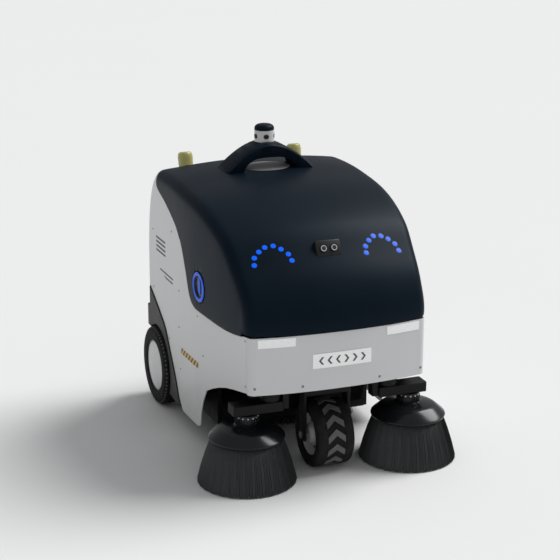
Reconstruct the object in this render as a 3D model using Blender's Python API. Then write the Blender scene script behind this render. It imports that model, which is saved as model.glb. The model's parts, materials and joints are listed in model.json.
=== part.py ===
"""Self-driving outdoor floor sweeper, as an assembly of separate pieces.

Metres, +Z up. The machine faces -Y and X = 0 is its middle plane. Its own left
side is +X. A station is a distance behind the seam between the front panel and
the side panels; shapes are drawn in stations and heights above the floor.
"""
import math

import bmesh
import bpy
from mathutils import Matrix, Vector

# Body
BODY_LENGTH = 1.350            # front seam to rear face
SEAM_HALF_WIDTH = 0.425        # across the side panels at the front seam
BODY_HALF_WIDTH = 0.480        # across the side panels where they run parallel
ROOF_Z = 1.222                 # top of the hood at its shoulders
FLARE_LENGTH = 0.80            # the sides widen over this length
FLARE_STEPS = 8
SKIN = 0.005                   # thickness of the panels and the hood
SHOULDER = 0.060               # radius between the sides and the roof or face
PANEL_GAP = 0.001
SEAT = 0.0003                  # gap between two pieces that rest on each other

# Front panel
PANEL_BASE_Z = 0.437
PANEL_TOP_Z = 0.700
PANEL_BOW = 0.066              # how far its middle stands ahead of the seam
PANEL_CORNER = 0.035

# Hood
HOOD_BASE_Z = 0.704
HOOD_LIFT = 0.010              # the hood stands proud of the panels
HOOD_GAP = 0.004
HOOD_BULGE_LOW = 0.042         # crown of the face at the bottom
HOOD_BULGE_ROOF = 0.027
HINGE_GAP = 0.025              # groove between the hood and the rear shell
HINGE_DROP = 0.022             # hinge axis below the roof
HINGE_ROD_R = 0.008
HINGE_ARM_X = 0.270
HOOD_LIMIT = 55

# Shoulder line of the hood: station and height as shares of its length and rise
HOOD_CREST = ((-0.032, 0.0), (-0.034, 0.082), (-0.020, 0.198), (0.027, 0.374), (0.111, 0.558),
              (0.213, 0.753), (0.427, 0.918), (0.711, 0.988), (0.862, 1.0), (1.0, 0.991))
# Lower edge of the hood's cheek: place along the crest, then the same shares
HOOD_EDGE = ((0.0, 0.036, -0.012), (0.10, 0.060, -0.026), (0.35, 0.199, -0.058), (0.62, 0.462, -0.058),
             (0.68, 0.513, -0.052), (0.72, 0.549, -0.006), (0.80, 0.603, 0.308), (0.86, 0.664, 0.523),
             (0.90, 0.730, 0.614), (0.97, 0.895, 0.772), (1.0, 0.985, 0.822))
# Shoulder line of the rear shell: ahead of the rear face, share of its height
REAR_CREST = ((0.175, 0.982), (0.115, 0.920), (0.060, 0.800), (0.025, 0.640), (0.005, 0.430), (0.0, 0.0))
REAR_BASE_Z = 0.480
REAR_BULGE = 0.019

# Running gear
REAR_TYRE_R = 0.199
REAR_TYRE_WIDTH = 0.092
REAR_RIM_R = 0.128
REAR_AXLE_SETBACK = 0.185      # rear axle ahead of the rear face
WHEEL_OUTER_X = 0.507
HUB_CAP_R = 0.122
HUB_CAP_DOME = 0.012
AXLE_R = 0.015
RUN = 0.0005                   # running clearance on a shaft
ARCH_GAP = 0.013
FENDER_PROUD = 0.006
FENDER_DEPTH = 0.046
# Edge between the side panel and the fender, from the rear axle
FENDER_EDGE = ((0.118, 0.390), (0.032, 0.344), (-0.053, 0.295), (-0.137, 0.240), (-0.216, 0.137),
               (-0.294, 0.030), (-0.355, -0.076), (-0.378, -0.094))
FRONT_TYRE_R = 0.155
FRONT_TYRE_WIDTH = 0.186
FRONT_RIM_R = 0.100
FRONT_WHEEL_V = 0.131
FRONT_AXLE_R = 0.012
FORK_ARM = 0.016
FORK_GAP = 0.006
STEER_LIMIT = 60
STEER_SHAFT_R = 0.020

# Frame
DECK_Z = 0.460                 # top of the deck
DECK_T = 0.008
DECK_HALF_WIDTH = 0.405
RAIL_OUTER_X = 0.385
RAIL_T = 0.020
RAIL_BASE_Z = 0.095
RAIL_START_V = 0.520
POST_X = 0.310
POST_WIDTH = 0.030
BULKHEAD_V = 0.335
SKIRT_Z = 0.092

# Side brushes
BRUSH_X = 0.397
BRUSH_V = 0.081
BRUSH_DISC_R = 0.173
BRUSH_TIP_R = 0.227
BRUSH_DISC_Z = 0.205
BRUSH_FLOOR = 0.002
BEAM_Z = 0.318
BEAM_HEIGHT = 0.050
BEAM_HALF_DEPTH = 0.040
BEAM_OUTER = 0.075
GUIDE_X = 0.205
GUIDE_T = 0.028
BRUSH_LIFT = 0.035

# Main brush and its drive
ROLLER_V = 0.650
ROLLER_R = 0.125
ROLLER_CORE_R = 0.045
ROLLER_FLOOR = 0.003
ROLLER_PULLEY_R = 0.040
MOTOR_PULLEY_R = 0.020
PULLEY_WIDTH = 0.016
PULLEY_RISE = 0.225            # motor pulley above the roller
HOUSING_GAP = 0.018
HOUSING_T = 0.004

# Dust hopper
HOPPER_HALF_WIDTH = 0.290
HOPPER_FRONT_V = 0.860
HOPPER_BASE_Z = 0.090
HOPPER_TOP_Z = 0.400
HOPPER_WALL = 0.004
HOPPER_FACE_T = 0.015
HANDLE_REACH = 0.034

# Roof
ARCH_FRONT_V = 0.818           # front face of the sensor arch
ARCH_DEPTH = 0.168
ARCH_HALF = 0.228
ARCH_TOP_Z = 1.368
ARCH_OPENING_HALF = 0.138
ARCH_OPENING_RISE = 0.056
HEAD_V = 0.913
HEAD_R = 0.048
HEAD_BAND = 0.056
HEAD_DOME = 0.029
BEACON_X = 0.290
BEACON_R = 0.038
BEACON_HEIGHT = 0.102
RING_LAMP_R = 0.0725
RING_LAMP_V = 0.436            # share of the hood's length
RING_LAMP_Z = 0.797

# Derived
HOOD_REAR_V = BODY_LENGTH - REAR_CREST[0][0] - HINGE_GAP - 0.025
HINGE_V = HOOD_REAR_V + 0.013
AXLE_V = BODY_LENGTH - REAR_AXLE_SETBACK
FRONT_REACH = BRUSH_TIP_R - BRUSH_V
REAR_REACH = BODY_LENGTH + HANDLE_REACH
SEAM_Y = (FRONT_REACH - REAR_REACH) / 2
ROLLER_Z = ROLLER_R + ROLLER_FLOOR
RAIL_INNER_X = RAIL_OUTER_X - RAIL_T
WHEEL_INNER_X = WHEEL_OUTER_X - REAR_TYRE_WIDTH
DECK_UNDER_Z = DECK_Z - DECK_T

# Colours: base colour, roughness, metallic
FINISHES = {
    "white_panel": ((0.62, 0.63, 0.64), 0.45, 0.0),
    "dark_hood": ((0.012, 0.017, 0.026), 0.22, 0.0),
    "black_plastic": ((0.020, 0.020, 0.022), 0.5, 0.0),
    "black_steel": ((0.016, 0.016, 0.017), 0.45, 0.2),
    "steel": ((0.55, 0.56, 0.57), 0.3, 1.0),
    "tyre": ((0.025, 0.025, 0.026), 0.8, 0.0),
    "grey_hub": ((0.60, 0.61, 0.61), 0.5, 0.0),
    "grey_rim": ((0.09, 0.095, 0.10), 0.5, 0.1),
    "bristle": ((0.030, 0.031, 0.033), 0.85, 0.0),
    "reflector": ((0.80, 0.80, 0.80), 0.35, 0.0),
    "blue_lamp": ((0.02, 0.06, 0.75), 0.3, 0.0),
    "amber": ((0.55, 0.53, 0.20), 0.35, 0.0),
    "lens": ((0.02, 0.02, 0.025), 0.08, 0.0),
    "rubber": ((0.020, 0.020, 0.020), 0.7, 0.0),
    "battery": ((0.05, 0.09, 0.16), 0.5, 0.0),
    "cast": ((0.30, 0.31, 0.32), 0.5, 0.6),
    "paper": ((0.70, 0.66, 0.55), 0.9, 0.0),
    "red": ((0.60, 0.02, 0.02), 0.35, 0.0),
}


# ---------------------------------------------------------------- geometry

def station(v):
    """The world Y of a station."""
    return SEAM_Y + v


def flare(v):
    """How far the body side has widened at a station, straight between steps."""
    widening = BODY_HALF_WIDTH - SEAM_HALF_WIDTH
    place = min(max(v / FLARE_LENGTH * FLARE_STEPS, 0.0), FLARE_STEPS)
    low = min(int(place), FLARE_STEPS - 1)
    ends = [widening * math.sin(n / FLARE_STEPS * math.pi / 2) for n in (low, low + 1)]
    return ends[0] + (place - low) * (ends[1] - ends[0])


def through(knots, place):
    """A point on the smooth curve through knots (place, a, b)."""
    last = len(knots) - 1
    index = max(n for n in range(last) if knots[n][0] <= place + 1e-9)
    p0, p1 = knots[index], knots[index + 1]
    before, after = knots[max(index - 1, 0)], knots[min(index + 2, last)]
    span = p1[0] - p0[0]
    f = (place - p0[0]) / span
    point = []
    for axis in (1, 2):
        start = (p1[axis] - before[axis]) / (p1[0] - before[0]) * span
        end = (after[axis] - p0[axis]) / (after[0] - p0[0]) * span
        point.append((2 * f**3 - 3 * f**2 + 1) * p0[axis] + (f**3 - 2 * f**2 + f) * start
                     + (3 * f**2 - 2 * f**3) * p1[axis] + (f**3 - f**2) * end)
    return point


def by_length(points):
    """Knots whose place is the share of the way along the points."""
    steps = [math.dist(a, b) for a, b in zip(points, points[1:])]
    total = sum(steps)
    return [(sum(steps[:n]) / total, *point) for n, point in enumerate(points)]


def hood_place(share_v, share_z):
    return share_v * HOOD_REAR_V, HOOD_BASE_Z + share_z * (ROOF_Z - HOOD_BASE_Z)


HOOD_KNOTS = by_length([hood_place(v, z) for v, z in HOOD_CREST])
EDGE_KNOTS = [(place, *hood_place(v, z)) for place, v, z in HOOD_EDGE]
REAR_KNOTS = by_length([(BODY_LENGTH - ahead, REAR_BASE_Z + rise * (ROOF_Z - REAR_BASE_Z))
                        for ahead, rise in REAR_CREST])


def outward(knots, place):
    """Unit normal of a crest in (station, height), pointing out of the body."""
    a = through(knots, max(place - 0.01, 0.0))
    b = through(knots, min(place + 0.01, 1.0))
    run, rise = b[0] - a[0], b[1] - a[1]
    length = math.hypot(run, rise)
    return -rise / length, run / length


def across(walls, arcs, crowns):
    """Columns over a shell from one lower edge to the other: part, share, side."""
    side = [("wall", 1 - n / walls) for n in range(walls)] + [("arc", 1 - n / arcs) for n in range(arcs)]
    middle = [("crown", -1 + 2 * n / crowns, 1) for n in range(crowns + 1)]
    return ([(part, f, -1) for part, f in side] + middle
            + [(part, f, 1) for part, f in reversed(side)])


def shell_point(knots, edge, place, column, lift, bulge):
    """A point on the hood's or rear shell's outer surface."""
    part, f, side = column
    v, z = through(knots, place)
    nv, nz = outward(knots, place)
    if part == "crown":
        half = SEAM_HALF_WIDTH + flare(v) + lift - SHOULDER
        crown = bulge(place) * (1 - f * f)
        return Vector((f * half, station(v + nv * crown), z + nz * crown))
    if part == "arc":
        angle = f * math.pi / 2
        drop = SHOULDER * (1 - math.cos(angle))
        half = SEAM_HALF_WIDTH + flare(v) + lift - SHOULDER + SHOULDER * math.sin(angle)
        return Vector((side * half, station(v - nv * drop), z - nz * drop))
    end_v, end_z = through(edge, place)
    wall_v = v - nv * SHOULDER
    wall_z = z - nz * SHOULDER
    wall_v += f * (end_v - wall_v)
    wall_z += f * (end_z - wall_z)
    half = SEAM_HALF_WIDTH + flare(v) + lift
    tuck = (flare(wall_v) - flare(v)) * f
    return Vector((side * (half + tuck), station(wall_v), wall_z))


def hood_bulge(place):
    return HOOD_BULGE_ROOF + (HOOD_BULGE_LOW - HOOD_BULGE_ROOF) * (1 - min(place / 0.45, 1.0)) ** 0.8


def rear_bulge(place):
    return REAR_BULGE


def hood_surface(place, f=0.0):
    return shell_point(HOOD_KNOTS, EDGE_KNOTS, place, ("crown", f, 1), HOOD_LIFT, hood_bulge)


def rear_surface(place, f=0.0):
    return shell_point(REAR_KNOTS, None, place, ("crown", f, 1), 0.0, rear_bulge)


def place_at(surface, axis, value):
    """The place along a crest where a surface reaches a coordinate."""
    low, high = 0.0, 1.0
    rising = surface(1.0)[axis] > surface(0.0)[axis]
    for _ in range(40):
        middle = (low + high) / 2
        if (surface(middle)[axis] < value) == rising:
            low = middle
        else:
            high = middle
    return low


def panel_front(x):
    """Station of the front panel's outer face at x."""
    straight = SEAM_HALF_WIDTH - PANEL_CORNER
    corner_v = PANEL_CORNER - PANEL_GAP
    if abs(x) <= straight:
        return -PANEL_BOW + (PANEL_BOW - corner_v) * abs(x / straight) ** 2.3
    inside = min((abs(x) - straight) / PANEL_CORNER, 1.0)
    return -PANEL_GAP - corner_v * math.sqrt(max(1 - inside**2, 0.0))


# ---------------------------------------------------------------- meshes

def finish_of(name):
    material = bpy.data.materials.get(name)
    if material:
        return material
    colour, roughness, metallic = FINISHES[name]
    material = bpy.data.materials.new(name)
    material.use_nodes = True
    shader = material.node_tree.nodes["Principled BSDF"]
    shader.inputs["Base Color"].default_value = (*colour, 1.0)
    shader.inputs["Roughness"].default_value = roughness
    shader.inputs["Metallic"].default_value = metallic
    return material


def piece(name, bm, finish, origin=(0.0, 0.0, 0.0), smooth=False):
    """An object from a bmesh drawn in world coordinates."""
    bmesh.ops.remove_doubles(bm, verts=bm.verts, dist=1e-6)
    bmesh.ops.recalc_face_normals(bm, faces=bm.faces)
    return plain_piece(name, bm, finish, origin, smooth)


def plain_piece(name, bm, finish, origin=(0.0, 0.0, 0.0), smooth=False):
    """As piece, with the faces left as they are."""
    bmesh.ops.translate(bm, verts=bm.verts, vec=-Vector(origin))
    mesh = bpy.data.meshes.new(name)
    bm.to_mesh(mesh)
    bm.free()
    if smooth:
        mesh.shade_smooth()
        mesh.set_sharp_from_angle(angle=math.radians(35))
    obj = bpy.data.objects.new(name, mesh)
    obj.location = origin
    obj.data.materials.append(finish_of(finish))
    bpy.context.scene.collection.objects.link(obj)
    return obj


def prism(outline, axis, low, high, bm=None):
    """An outline extruded along an axis. Outlines are (y, z), (x, z) or (x, y)."""
    bm = bm or bmesh.new()
    spread = {"X": lambda a, b: (low, a, b), "Y": lambda a, b: (a, low, b), "Z": lambda a, b: (a, b, low)}
    verts = [bm.verts.new(spread[axis](a, b)) for a, b in outline]
    face = bm.faces.new(verts)
    made = bmesh.ops.extrude_face_region(bm, geom=[face])["geom"]
    shift = Vector([high - low if letter == axis else 0.0 for letter in "XYZ"])
    bmesh.ops.translate(bm, verts=[g for g in made if isinstance(g, bmesh.types.BMVert)], vec=shift)
    return bm


def block(x, y, z, bm=None):
    """A box between low and high values on each axis."""
    bm = bm or bmesh.new()
    size = Vector((x[1] - x[0], y[1] - y[0], z[1] - z[0]))
    centre = Vector((x[0] + x[1], y[0] + y[1], z[0] + z[1])) / 2
    bmesh.ops.create_cube(bm, size=1.0, matrix=Matrix.Translation(centre) @ Matrix.Diagonal((*size, 1.0)))
    return bm


def turned(profile, axis, centre, steps, bm=None, ring=False):
    """A profile (radius, along) spun about an axis through centre."""
    bm = bm or bmesh.new()
    frames = {"X": Matrix(((0, 1, 0), (1, 0, 0), (0, 0, 1))), "Y": Matrix(((1, 0, 0), (0, 0, 1), (0, 1, 0))),
              "Z": Matrix(((1, 0, 0), (0, 0, 1), (0, 1, 0)))}
    ends = {"X": lambda r, a: (a, r, 0), "Y": lambda r, a: (r, a, 0), "Z": lambda r, a: (r, 0, a)}
    verts = [bm.verts.new(Vector(ends[axis](r, a)) + Vector(centre)) for r, a in profile]
    edges = [bm.edges.new(pair) for pair in zip(verts, verts[1:])]
    if ring:
        edges.append(bm.edges.new((verts[-1], verts[0])))
    direction = {"X": (1, 0, 0), "Y": (0, 1, 0), "Z": (0, 0, 1)}[axis]
    bmesh.ops.spin(bm, geom=verts + edges, cent=centre, axis=direction, angle=math.tau, steps=steps,
                   use_merge=True)
    bmesh.ops.remove_doubles(bm, verts=bm.verts, dist=1e-6)
    return bm


def rod(radius, axis, centre, low, high, steps=20, bm=None):
    return turned([(0, low), (radius, low), (radius, high), (0, high)], axis, centre, steps, bm)


def tube(inner, outer, axis, centre, low, high, steps=32, bm=None):
    return turned([(inner, low), (outer, low), (outer, high), (inner, high)], axis, centre, steps, bm, True)


def cutter(name, bm):
    obj = piece(name, bm, "black_plastic")
    obj.hide_render = True
    obj.display_type = "WIRE"
    return obj


def cut(obj, tool, operation="DIFFERENCE", crossing=False):
    modifier = obj.modifiers.new(tool.name, "BOOLEAN")
    modifier.operation = operation
    modifier.solver = "EXACT"
    modifier.object = tool
    modifier.use_self = crossing


def soften(obj, width, segments=1, angle=35):
    modifier = obj.modifiers.new("edges", "BEVEL")
    modifier.width = width
    modifier.segments = segments
    modifier.limit_method = "ANGLE"
    modifier.angle_limit = math.radians(angle)
    modifier.use_clamp_overlap = True


def thicken(obj, thickness, outside=0.0, even=True):
    """Give a surface a wall inwards, and optionally a skin outwards."""
    modifier = obj.modifiers.new("wall", "SOLIDIFY")
    modifier.thickness = thickness + outside
    modifier.offset = -1 + 2 * outside / (thickness + outside)
    modifier.use_even_offset = even


def follow_side(bm, side):
    """Cut a flat side piece at the flare's steps and bend it along the body."""
    for n in range(FLARE_STEPS + 1):
        y = station(n / FLARE_STEPS * FLARE_LENGTH)
        geom = bm.verts[:] + bm.edges[:] + bm.faces[:]
        bmesh.ops.bisect_plane(bm, geom=geom, dist=1e-6, plane_co=(0, y, 0), plane_no=(0, 1, 0))
    for vert in bm.verts:
        vert.co.x = side * (vert.co.x + flare(vert.co.y - SEAM_Y))
    return bm


def shell(name, knots, edge, rows, columns, lift, bulge):
    """A grid over the body's envelope, front to rear and side to side."""
    bm = bmesh.new()
    bmesh.ops.create_grid(bm, x_segments=len(columns) - 1, y_segments=rows, size=1.0)
    for vert in bm.verts:
        column = columns[round((vert.co.x + 1) / 2 * (len(columns) - 1))]
        place = round((vert.co.y + 1) / 2 * rows) / rows
        vert.co = shell_point(knots, edge, place, column, lift, bulge)
    return bm


# ---------------------------------------------------------------- body

def side_outline():
    """Outline of a side panel as stations and heights."""
    points = [(PANEL_GAP, PANEL_BASE_Z + 0.004), (PANEL_GAP, PANEL_TOP_Z)]
    for n in range(25):
        place = n / 24
        v, z = through(EDGE_KNOTS, place)
        a, b = through(EDGE_KNOTS, max(place - 0.01, 0)), through(EDGE_KNOTS, min(place + 0.01, 1))
        run, rise = b[0] - a[0], b[1] - a[1]
        length = math.hypot(run, rise)
        points.append((v + rise / length * HOOD_GAP, z - run / length * HOOD_GAP))
    inset = SHOULDER + PANEL_GAP
    fender_top = AXLE_V + FENDER_EDGE[0][0], REAR_TYRE_R + FENDER_EDGE[0][1]
    for n in range(13):
        v, z = through(REAR_KNOTS, n / 12)
        nv, nz = outward(REAR_KNOTS, n / 12)
        if z - nz * inset > fender_top[1] + 0.02:
            points.append((v - nv * inset, z - nz * inset))
    points += fender_edge(PANEL_GAP)
    toe_v = AXLE_V + FENDER_EDGE[-1][0]
    points += [(toe_v - 0.02, SKIRT_Z), (0.560, SKIRT_Z), (0.530, SKIRT_Z + 0.008)]
    points += brush_arch()
    return points


def brush_arch():
    """Front cut-out of the side panel over the side brush, rear to front."""
    return [(0.519, 0.114), (0.507, 0.176), (0.484, 0.237), (0.439, 0.308), (0.369, 0.342), (0.292, 0.373),
            (0.213, 0.398), (0.138, 0.415), (0.064, 0.429)]


def fender_edge(gap, count=16):
    """Edge of the fender, or of the panel above it when gap is set."""
    knots = by_length([(AXLE_V + dv, REAR_TYRE_R + dz) for dv, dz in FENDER_EDGE])
    points = []
    for n in range(count + 1):
        v, z = through(knots, n / count)
        nv, nz = outward(knots, n / count)
        points.append((v - nv * gap, z - nz * gap))
    return points


def side_panels():
    outline = [(station(v), z) for v, z in side_outline()]
    for name, side in (("side_panel_left", 1), ("side_panel_right", -1)):
        bm = prism(outline, "X", SEAM_HALF_WIDTH - SKIN, SEAM_HALF_WIDTH)
        piece(name, follow_side(bm, side), "white_panel")


def fenders():
    arch_r = REAR_TYRE_R + ARCH_GAP
    toe = AXLE_V + FENDER_EDGE[-1][0]
    outline = fender_edge(0.0)
    outline += [(toe + 0.060, REAR_TYRE_R + FENDER_EDGE[-1][1] - 0.004)]
    start = math.radians(205)
    end = math.acos((FENDER_EDGE[0][0]) / arch_r)
    for n in range(15):
        angle = start + (end - start) * n / 14
        outline.append((AXLE_V + arch_r * math.cos(angle), REAR_TYRE_R + arch_r * math.sin(angle)))
    outline = [(station(v), z) for v, z in outline]
    for name, side in (("fender_left", 1), ("fender_right", -1)):
        low, high = BODY_HALF_WIDTH - FENDER_DEPTH, BODY_HALF_WIDTH + FENDER_PROUD
        bm = prism(outline, "X", side * low, side * high)
        soften(piece(name, bm, "black_plastic"), 0.004)


def curved_front(x_low, x_high, count, outer, inner, z_low, z_high, bm=None):
    """A strip that follows the front panel between two offsets ahead of its face."""
    bm = bm or bmesh.new()
    xs = [x_low + (x_high - x_low) * n / count for n in range(count + 1)]
    outline = [(x, station(panel_front(x) - outer)) for x in xs]
    outline += [(x, station(panel_front(x) - inner)) for x in reversed(xs)]
    return prism(outline, "Z", z_low, z_high, bm)


def front_panel():
    straight = SEAM_HALF_WIDTH - PANEL_CORNER
    outer, inner = [], []
    for n in range(-10, 11):
        x = straight * n / 10
        outer.append((x, panel_front(x)))
        inner.append((x, panel_front(x) + SKIN))
    for n in range(1, 6):
        angle = n / 5 * math.pi / 2
        for points, radius in ((outer, PANEL_CORNER), (inner, PANEL_CORNER - SKIN)):
            x = straight + radius * math.sin(angle)
            v = -PANEL_GAP - (radius - PANEL_GAP) * math.cos(angle)
            points.append((x, v))
            points.insert(0, (-x, v))
    outline = outer + inner[::-1]
    bm = prism([(x, station(v)) for x, v in outline], "Z", PANEL_BASE_Z, PANEL_TOP_Z)
    piece("front_panel", bm, "white_panel")


def front_trim():
    for name, side in (("reflector_left", 1), ("reflector_right", -1)):
        ends = sorted((side * 0.218, side * 0.386))
        bm = curved_front(*ends, 6, SEAT + 0.0025, SEAT, 0.655, 0.694)
        piece(name, bm, "reflector")
    bm = curved_front(-0.140, 0.140, 6, SEAT + 0.003, SEAT, 0.541, 0.608)
    piece("chevron_plate", bm, "reflector")


def rear_shell():
    columns = across(0, 4, 8)
    bm = shell("rear_shell", REAR_KNOTS, None, 12, columns, 0.0, rear_bulge)
    obj = plain_piece("rear_shell", bm, "white_panel", smooth=True)
    thicken(obj, SKIN)
    x, y, z = button_place()
    cut(obj, cutter("button_hole", rod(0.0125, "Y", (x, y, z), -0.03, 0.03)))


def rear_bumper():
    window = HOPPER_HALF_WIDTH + 0.022
    wide, narrow = BODY_HALF_WIDTH - 0.002, RAIL_OUTER_X + 0.022
    shelf = REAR_TYRE_R + 0.161
    top = REAR_BASE_Z - 0.004
    outline = [(-narrow, RAIL_BASE_Z), (-window, RAIL_BASE_Z), (-window, HOPPER_TOP_Z + 0.032),
               (window, HOPPER_TOP_Z + 0.032), (window, RAIL_BASE_Z), (narrow, RAIL_BASE_Z),
               (narrow, shelf), (wide, shelf), (wide, top), (-wide, top), (-wide, shelf), (-narrow, shelf)]
    bm = prism(outline, "Y", station(BODY_LENGTH - 0.049), station(BODY_LENGTH - 0.002))
    soften(piece("rear_bumper", bm, "black_plastic"), 0.004)


def button_place():
    point = rear_surface(place_at(rear_surface, 2, 0.620), -0.70)
    return point.x, point.y, point.z


def emergency_button():
    x, y, z = button_place()
    profile = [(0, -0.020), (0.012, -0.020), (0.012, 0.006), (0.020, 0.008), (0.020, 0.018), (0.014, 0.024),
               (0, 0.025)]
    bm = turned(profile, "Y", (x, y, z), 24)
    piece("emergency_button", bm, "red", origin=(x, y, z), smooth=True)


def beacons():
    place = 0.105
    tool = plain_piece("rear_skin_cutter", shell("rear_skin", REAR_KNOTS, None, 12, across(0, 4, 8), 0.0,
                                                 rear_bulge), "white_panel")
    thicken(tool, 0.030, SEAT, even=False)
    tool.hide_render = True
    tool.display_type = "WIRE"
    share = BEACON_X / (BODY_HALF_WIDTH - SHOULDER)
    for name, side in (("beacon_left", 1), ("beacon_right", -1)):
        point = rear_surface(place, side * share)
        wide = BEACON_R
        profile = [(0, -0.010), (wide - 0.004, -0.010), (wide - 0.003, 0.008), (wide, BEACON_HEIGHT * 0.75),
                   (wide - 0.004, BEACON_HEIGHT * 0.93), (wide - 0.014, BEACON_HEIGHT), (0, BEACON_HEIGHT)]
        bm = turned(profile, "Z", point, 20)
        lean = Matrix.Rotation(math.radians(-12), 3, "X")
        bmesh.ops.rotate(bm, verts=bm.verts, cent=point, matrix=lean)
        obj = piece(name, bm, "amber", smooth=True)
        cut(obj, tool, crossing=True)


# ---------------------------------------------------------------- frame and machinery

def chassis_frame():
    rear = BODY_LENGTH - 0.050
    outline = [(-RAIL_OUTER_X, RAIL_BASE_Z), (-RAIL_OUTER_X, DECK_UNDER_Z), (-DECK_HALF_WIDTH, DECK_UNDER_Z),
               (-DECK_HALF_WIDTH, DECK_Z), (DECK_HALF_WIDTH, DECK_Z), (DECK_HALF_WIDTH, DECK_UNDER_Z),
               (RAIL_OUTER_X, DECK_UNDER_Z), (RAIL_OUTER_X, RAIL_BASE_Z), (RAIL_INNER_X, RAIL_BASE_Z),
               (RAIL_INNER_X, DECK_UNDER_Z), (-RAIL_INNER_X, DECK_UNDER_Z), (-RAIL_INNER_X, RAIL_BASE_Z)]
    obj = piece("chassis_frame", prism(outline, "Y", station(0.002), station(rear)), "black_steel")
    under = block((-0.5, 0.5), (station(-0.1), station(RAIL_START_V)), (0.0, DECK_UNDER_Z))
    cut(obj, cutter("front_clearance", under))
    _, hinge_y, hinge_z = hinge_line()
    added = bmesh.new()
    for side in (-1, 1):
        guide = sorted((side * GUIDE_X, side * (GUIDE_X + GUIDE_T)))
        y = station(BRUSH_V)
        block(guide, (y - 0.025, y + 0.025), (BEAM_Z + 0.006, DECK_Z - 0.002), added)
        post = sorted((side * (POST_X - POST_WIDTH / 2), side * (POST_X + POST_WIDTH / 2)))
        block(post, (hinge_y - 0.018, hinge_y + 0.018), (DECK_Z - 0.002, hinge_z + 0.012), added)
    cut(obj, cutter("posts", added), "UNION")
    holes = bmesh.new()
    rod(AXLE_R + RUN, "X", (0, station(AXLE_V), REAR_TYRE_R), -0.5, 0.5, 24, holes)
    rod(0.012 + RUN, "X", (0, station(ROLLER_V), ROLLER_Z), -0.5, 0.5, 24, holes)
    rod(0.008 + RUN, "X", (0, station(ROLLER_V), ROLLER_Z + PULLEY_RISE), 0.3, 0.5, 24, holes)
    rod(HINGE_ROD_R + SEAT, "X", (0, hinge_y, hinge_z), -0.5, 0.5, 20, holes)
    cut(obj, cutter("shaft_holes", holes))


def front_bulkhead():
    top = DECK_UNDER_Z - SEAT
    outline = [(-0.345, top), (-0.270, 0.200), (0.270, 0.200), (0.345, top)]
    y = station(BULKHEAD_V)
    piece("front_bulkhead", prism(outline, "Y", y, y + 0.008), "black_steel")


def hinge_line():
    """A point on the hood's hinge axis."""
    roof = through(HOOD_KNOTS, 1.0)[1] + HOOD_BULGE_ROOF * 0.5
    return 0.0, station(HINGE_V), roof - HINGE_DROP


def hinge_rod():
    _, y, z = hinge_line()
    half = POST_X + POST_WIDTH / 2 + 0.004
    piece("hinge_rod", rod(HINGE_ROD_R, "X", (0, y, z), -half, half, 16), "steel", smooth=True)


def power_units():
    base = DECK_Z + SEAT
    bm = block((-0.200, 0.200), (station(0.120), station(0.500)), (base, base + 0.200))
    soften(piece("battery_pack", bm, "battery"), 0.008)
    bm = block((-0.170, 0.170), (station(0.540), station(0.700)), (base, base + 0.130))
    soften(piece("controller_box", bm, "cast"), 0.005)
    centre = (0, station(fan_station()), 0)
    fan = [(0, base), (0.125, base), (0.125, base + 0.130), (0.100, base + 0.145), (0, base + 0.145)]
    piece("fan_housing", turned(fan, "Z", centre, 32), "black_plastic", smooth=True)
    top = base + 0.145 + SEAT
    bm = rod(0.095, "Z", centre, top, top + 0.170, 32)
    piece("filter_cartridge", bm, "paper", smooth=True)


def fan_station():
    return 0.5 * (0.700 + HINGE_V - 0.018)


def drive_motors():
    y = station(AXLE_V)
    length = RAIL_INNER_X - HOPPER_HALF_WIDTH - 0.012
    for name, side in (("drive_motor_left", 1), ("drive_motor_right", -1)):
        face = RAIL_INNER_X - SEAT
        ends = sorted((side * (face - length), side * face))
        bm = rod(0.050, "X", (0, y, REAR_TYRE_R), *ends, 28)
        obj = piece(name, bm, "cast", smooth=True)
        soften(obj, 0.004)


def roller_drive():
    y = station(ROLLER_V)
    z = ROLLER_Z + PULLEY_RISE
    face = RAIL_INNER_X - SEAT
    obj = piece("roller_motor", rod(0.045, "X", (0, y, z), face - 0.130, face, 28), "cast", smooth=True)
    soften(obj, 0.004)
    low = RAIL_OUTER_X + 0.003
    profile = [(0, RAIL_INNER_X + 0.001), (0.008, RAIL_INNER_X + 0.001), (0.008, low),
               (MOTOR_PULLEY_R, low), (MOTOR_PULLEY_R, low + PULLEY_WIDTH), (0, low + PULLEY_WIDTH)]
    bm = turned(profile, "X", (0, y, z), 24)
    piece("motor_pulley", bm, "steel", origin=(0, y, z), smooth=True)
    inner = prism(belt_outline(SEAT), "X", low - 0.01, low + PULLEY_WIDTH + 0.01)
    belt = piece("drive_belt", prism(belt_outline(SEAT + 0.003), "X", low + 0.001, low + PULLEY_WIDTH - 0.001),
                 "rubber")
    cut(belt, cutter("belt_inside", inner))


def belt_outline(offset):
    """Outline round both pulleys, at an offset from them."""
    lower, upper = ROLLER_PULLEY_R + offset, MOTOR_PULLEY_R + offset
    lean = math.asin((lower - upper) / PULLEY_RISE)
    points = []
    for n in range(13):
        angle = lean + (math.pi - 2 * lean) * n / 12
        points.append((upper * math.cos(angle), PULLEY_RISE + upper * math.sin(angle)))
    for n in range(17):
        angle = math.pi - lean + (math.pi + 2 * lean) * n / 16
        points.append((lower * math.cos(angle), lower * math.sin(angle)))
    return [(station(ROLLER_V) + a, ROLLER_Z + b) for a, b in points]


def roller_housing():
    inner, outer = ROLLER_R + HOUSING_GAP, ROLLER_R + HOUSING_GAP + HOUSING_T
    angles = [math.radians(22 + 170 * n / 16) for n in range(17)]
    outline = [(outer * math.cos(a), outer * math.sin(a)) for a in angles]
    outline += [(inner * math.cos(a), inner * math.sin(a)) for a in reversed(angles)]
    outline = [(station(ROLLER_V) + a, ROLLER_Z + b) for a, b in outline]
    half = RAIL_INNER_X - SEAT
    piece("roller_housing", prism(outline, "X", -half, half), "black_steel")


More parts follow.
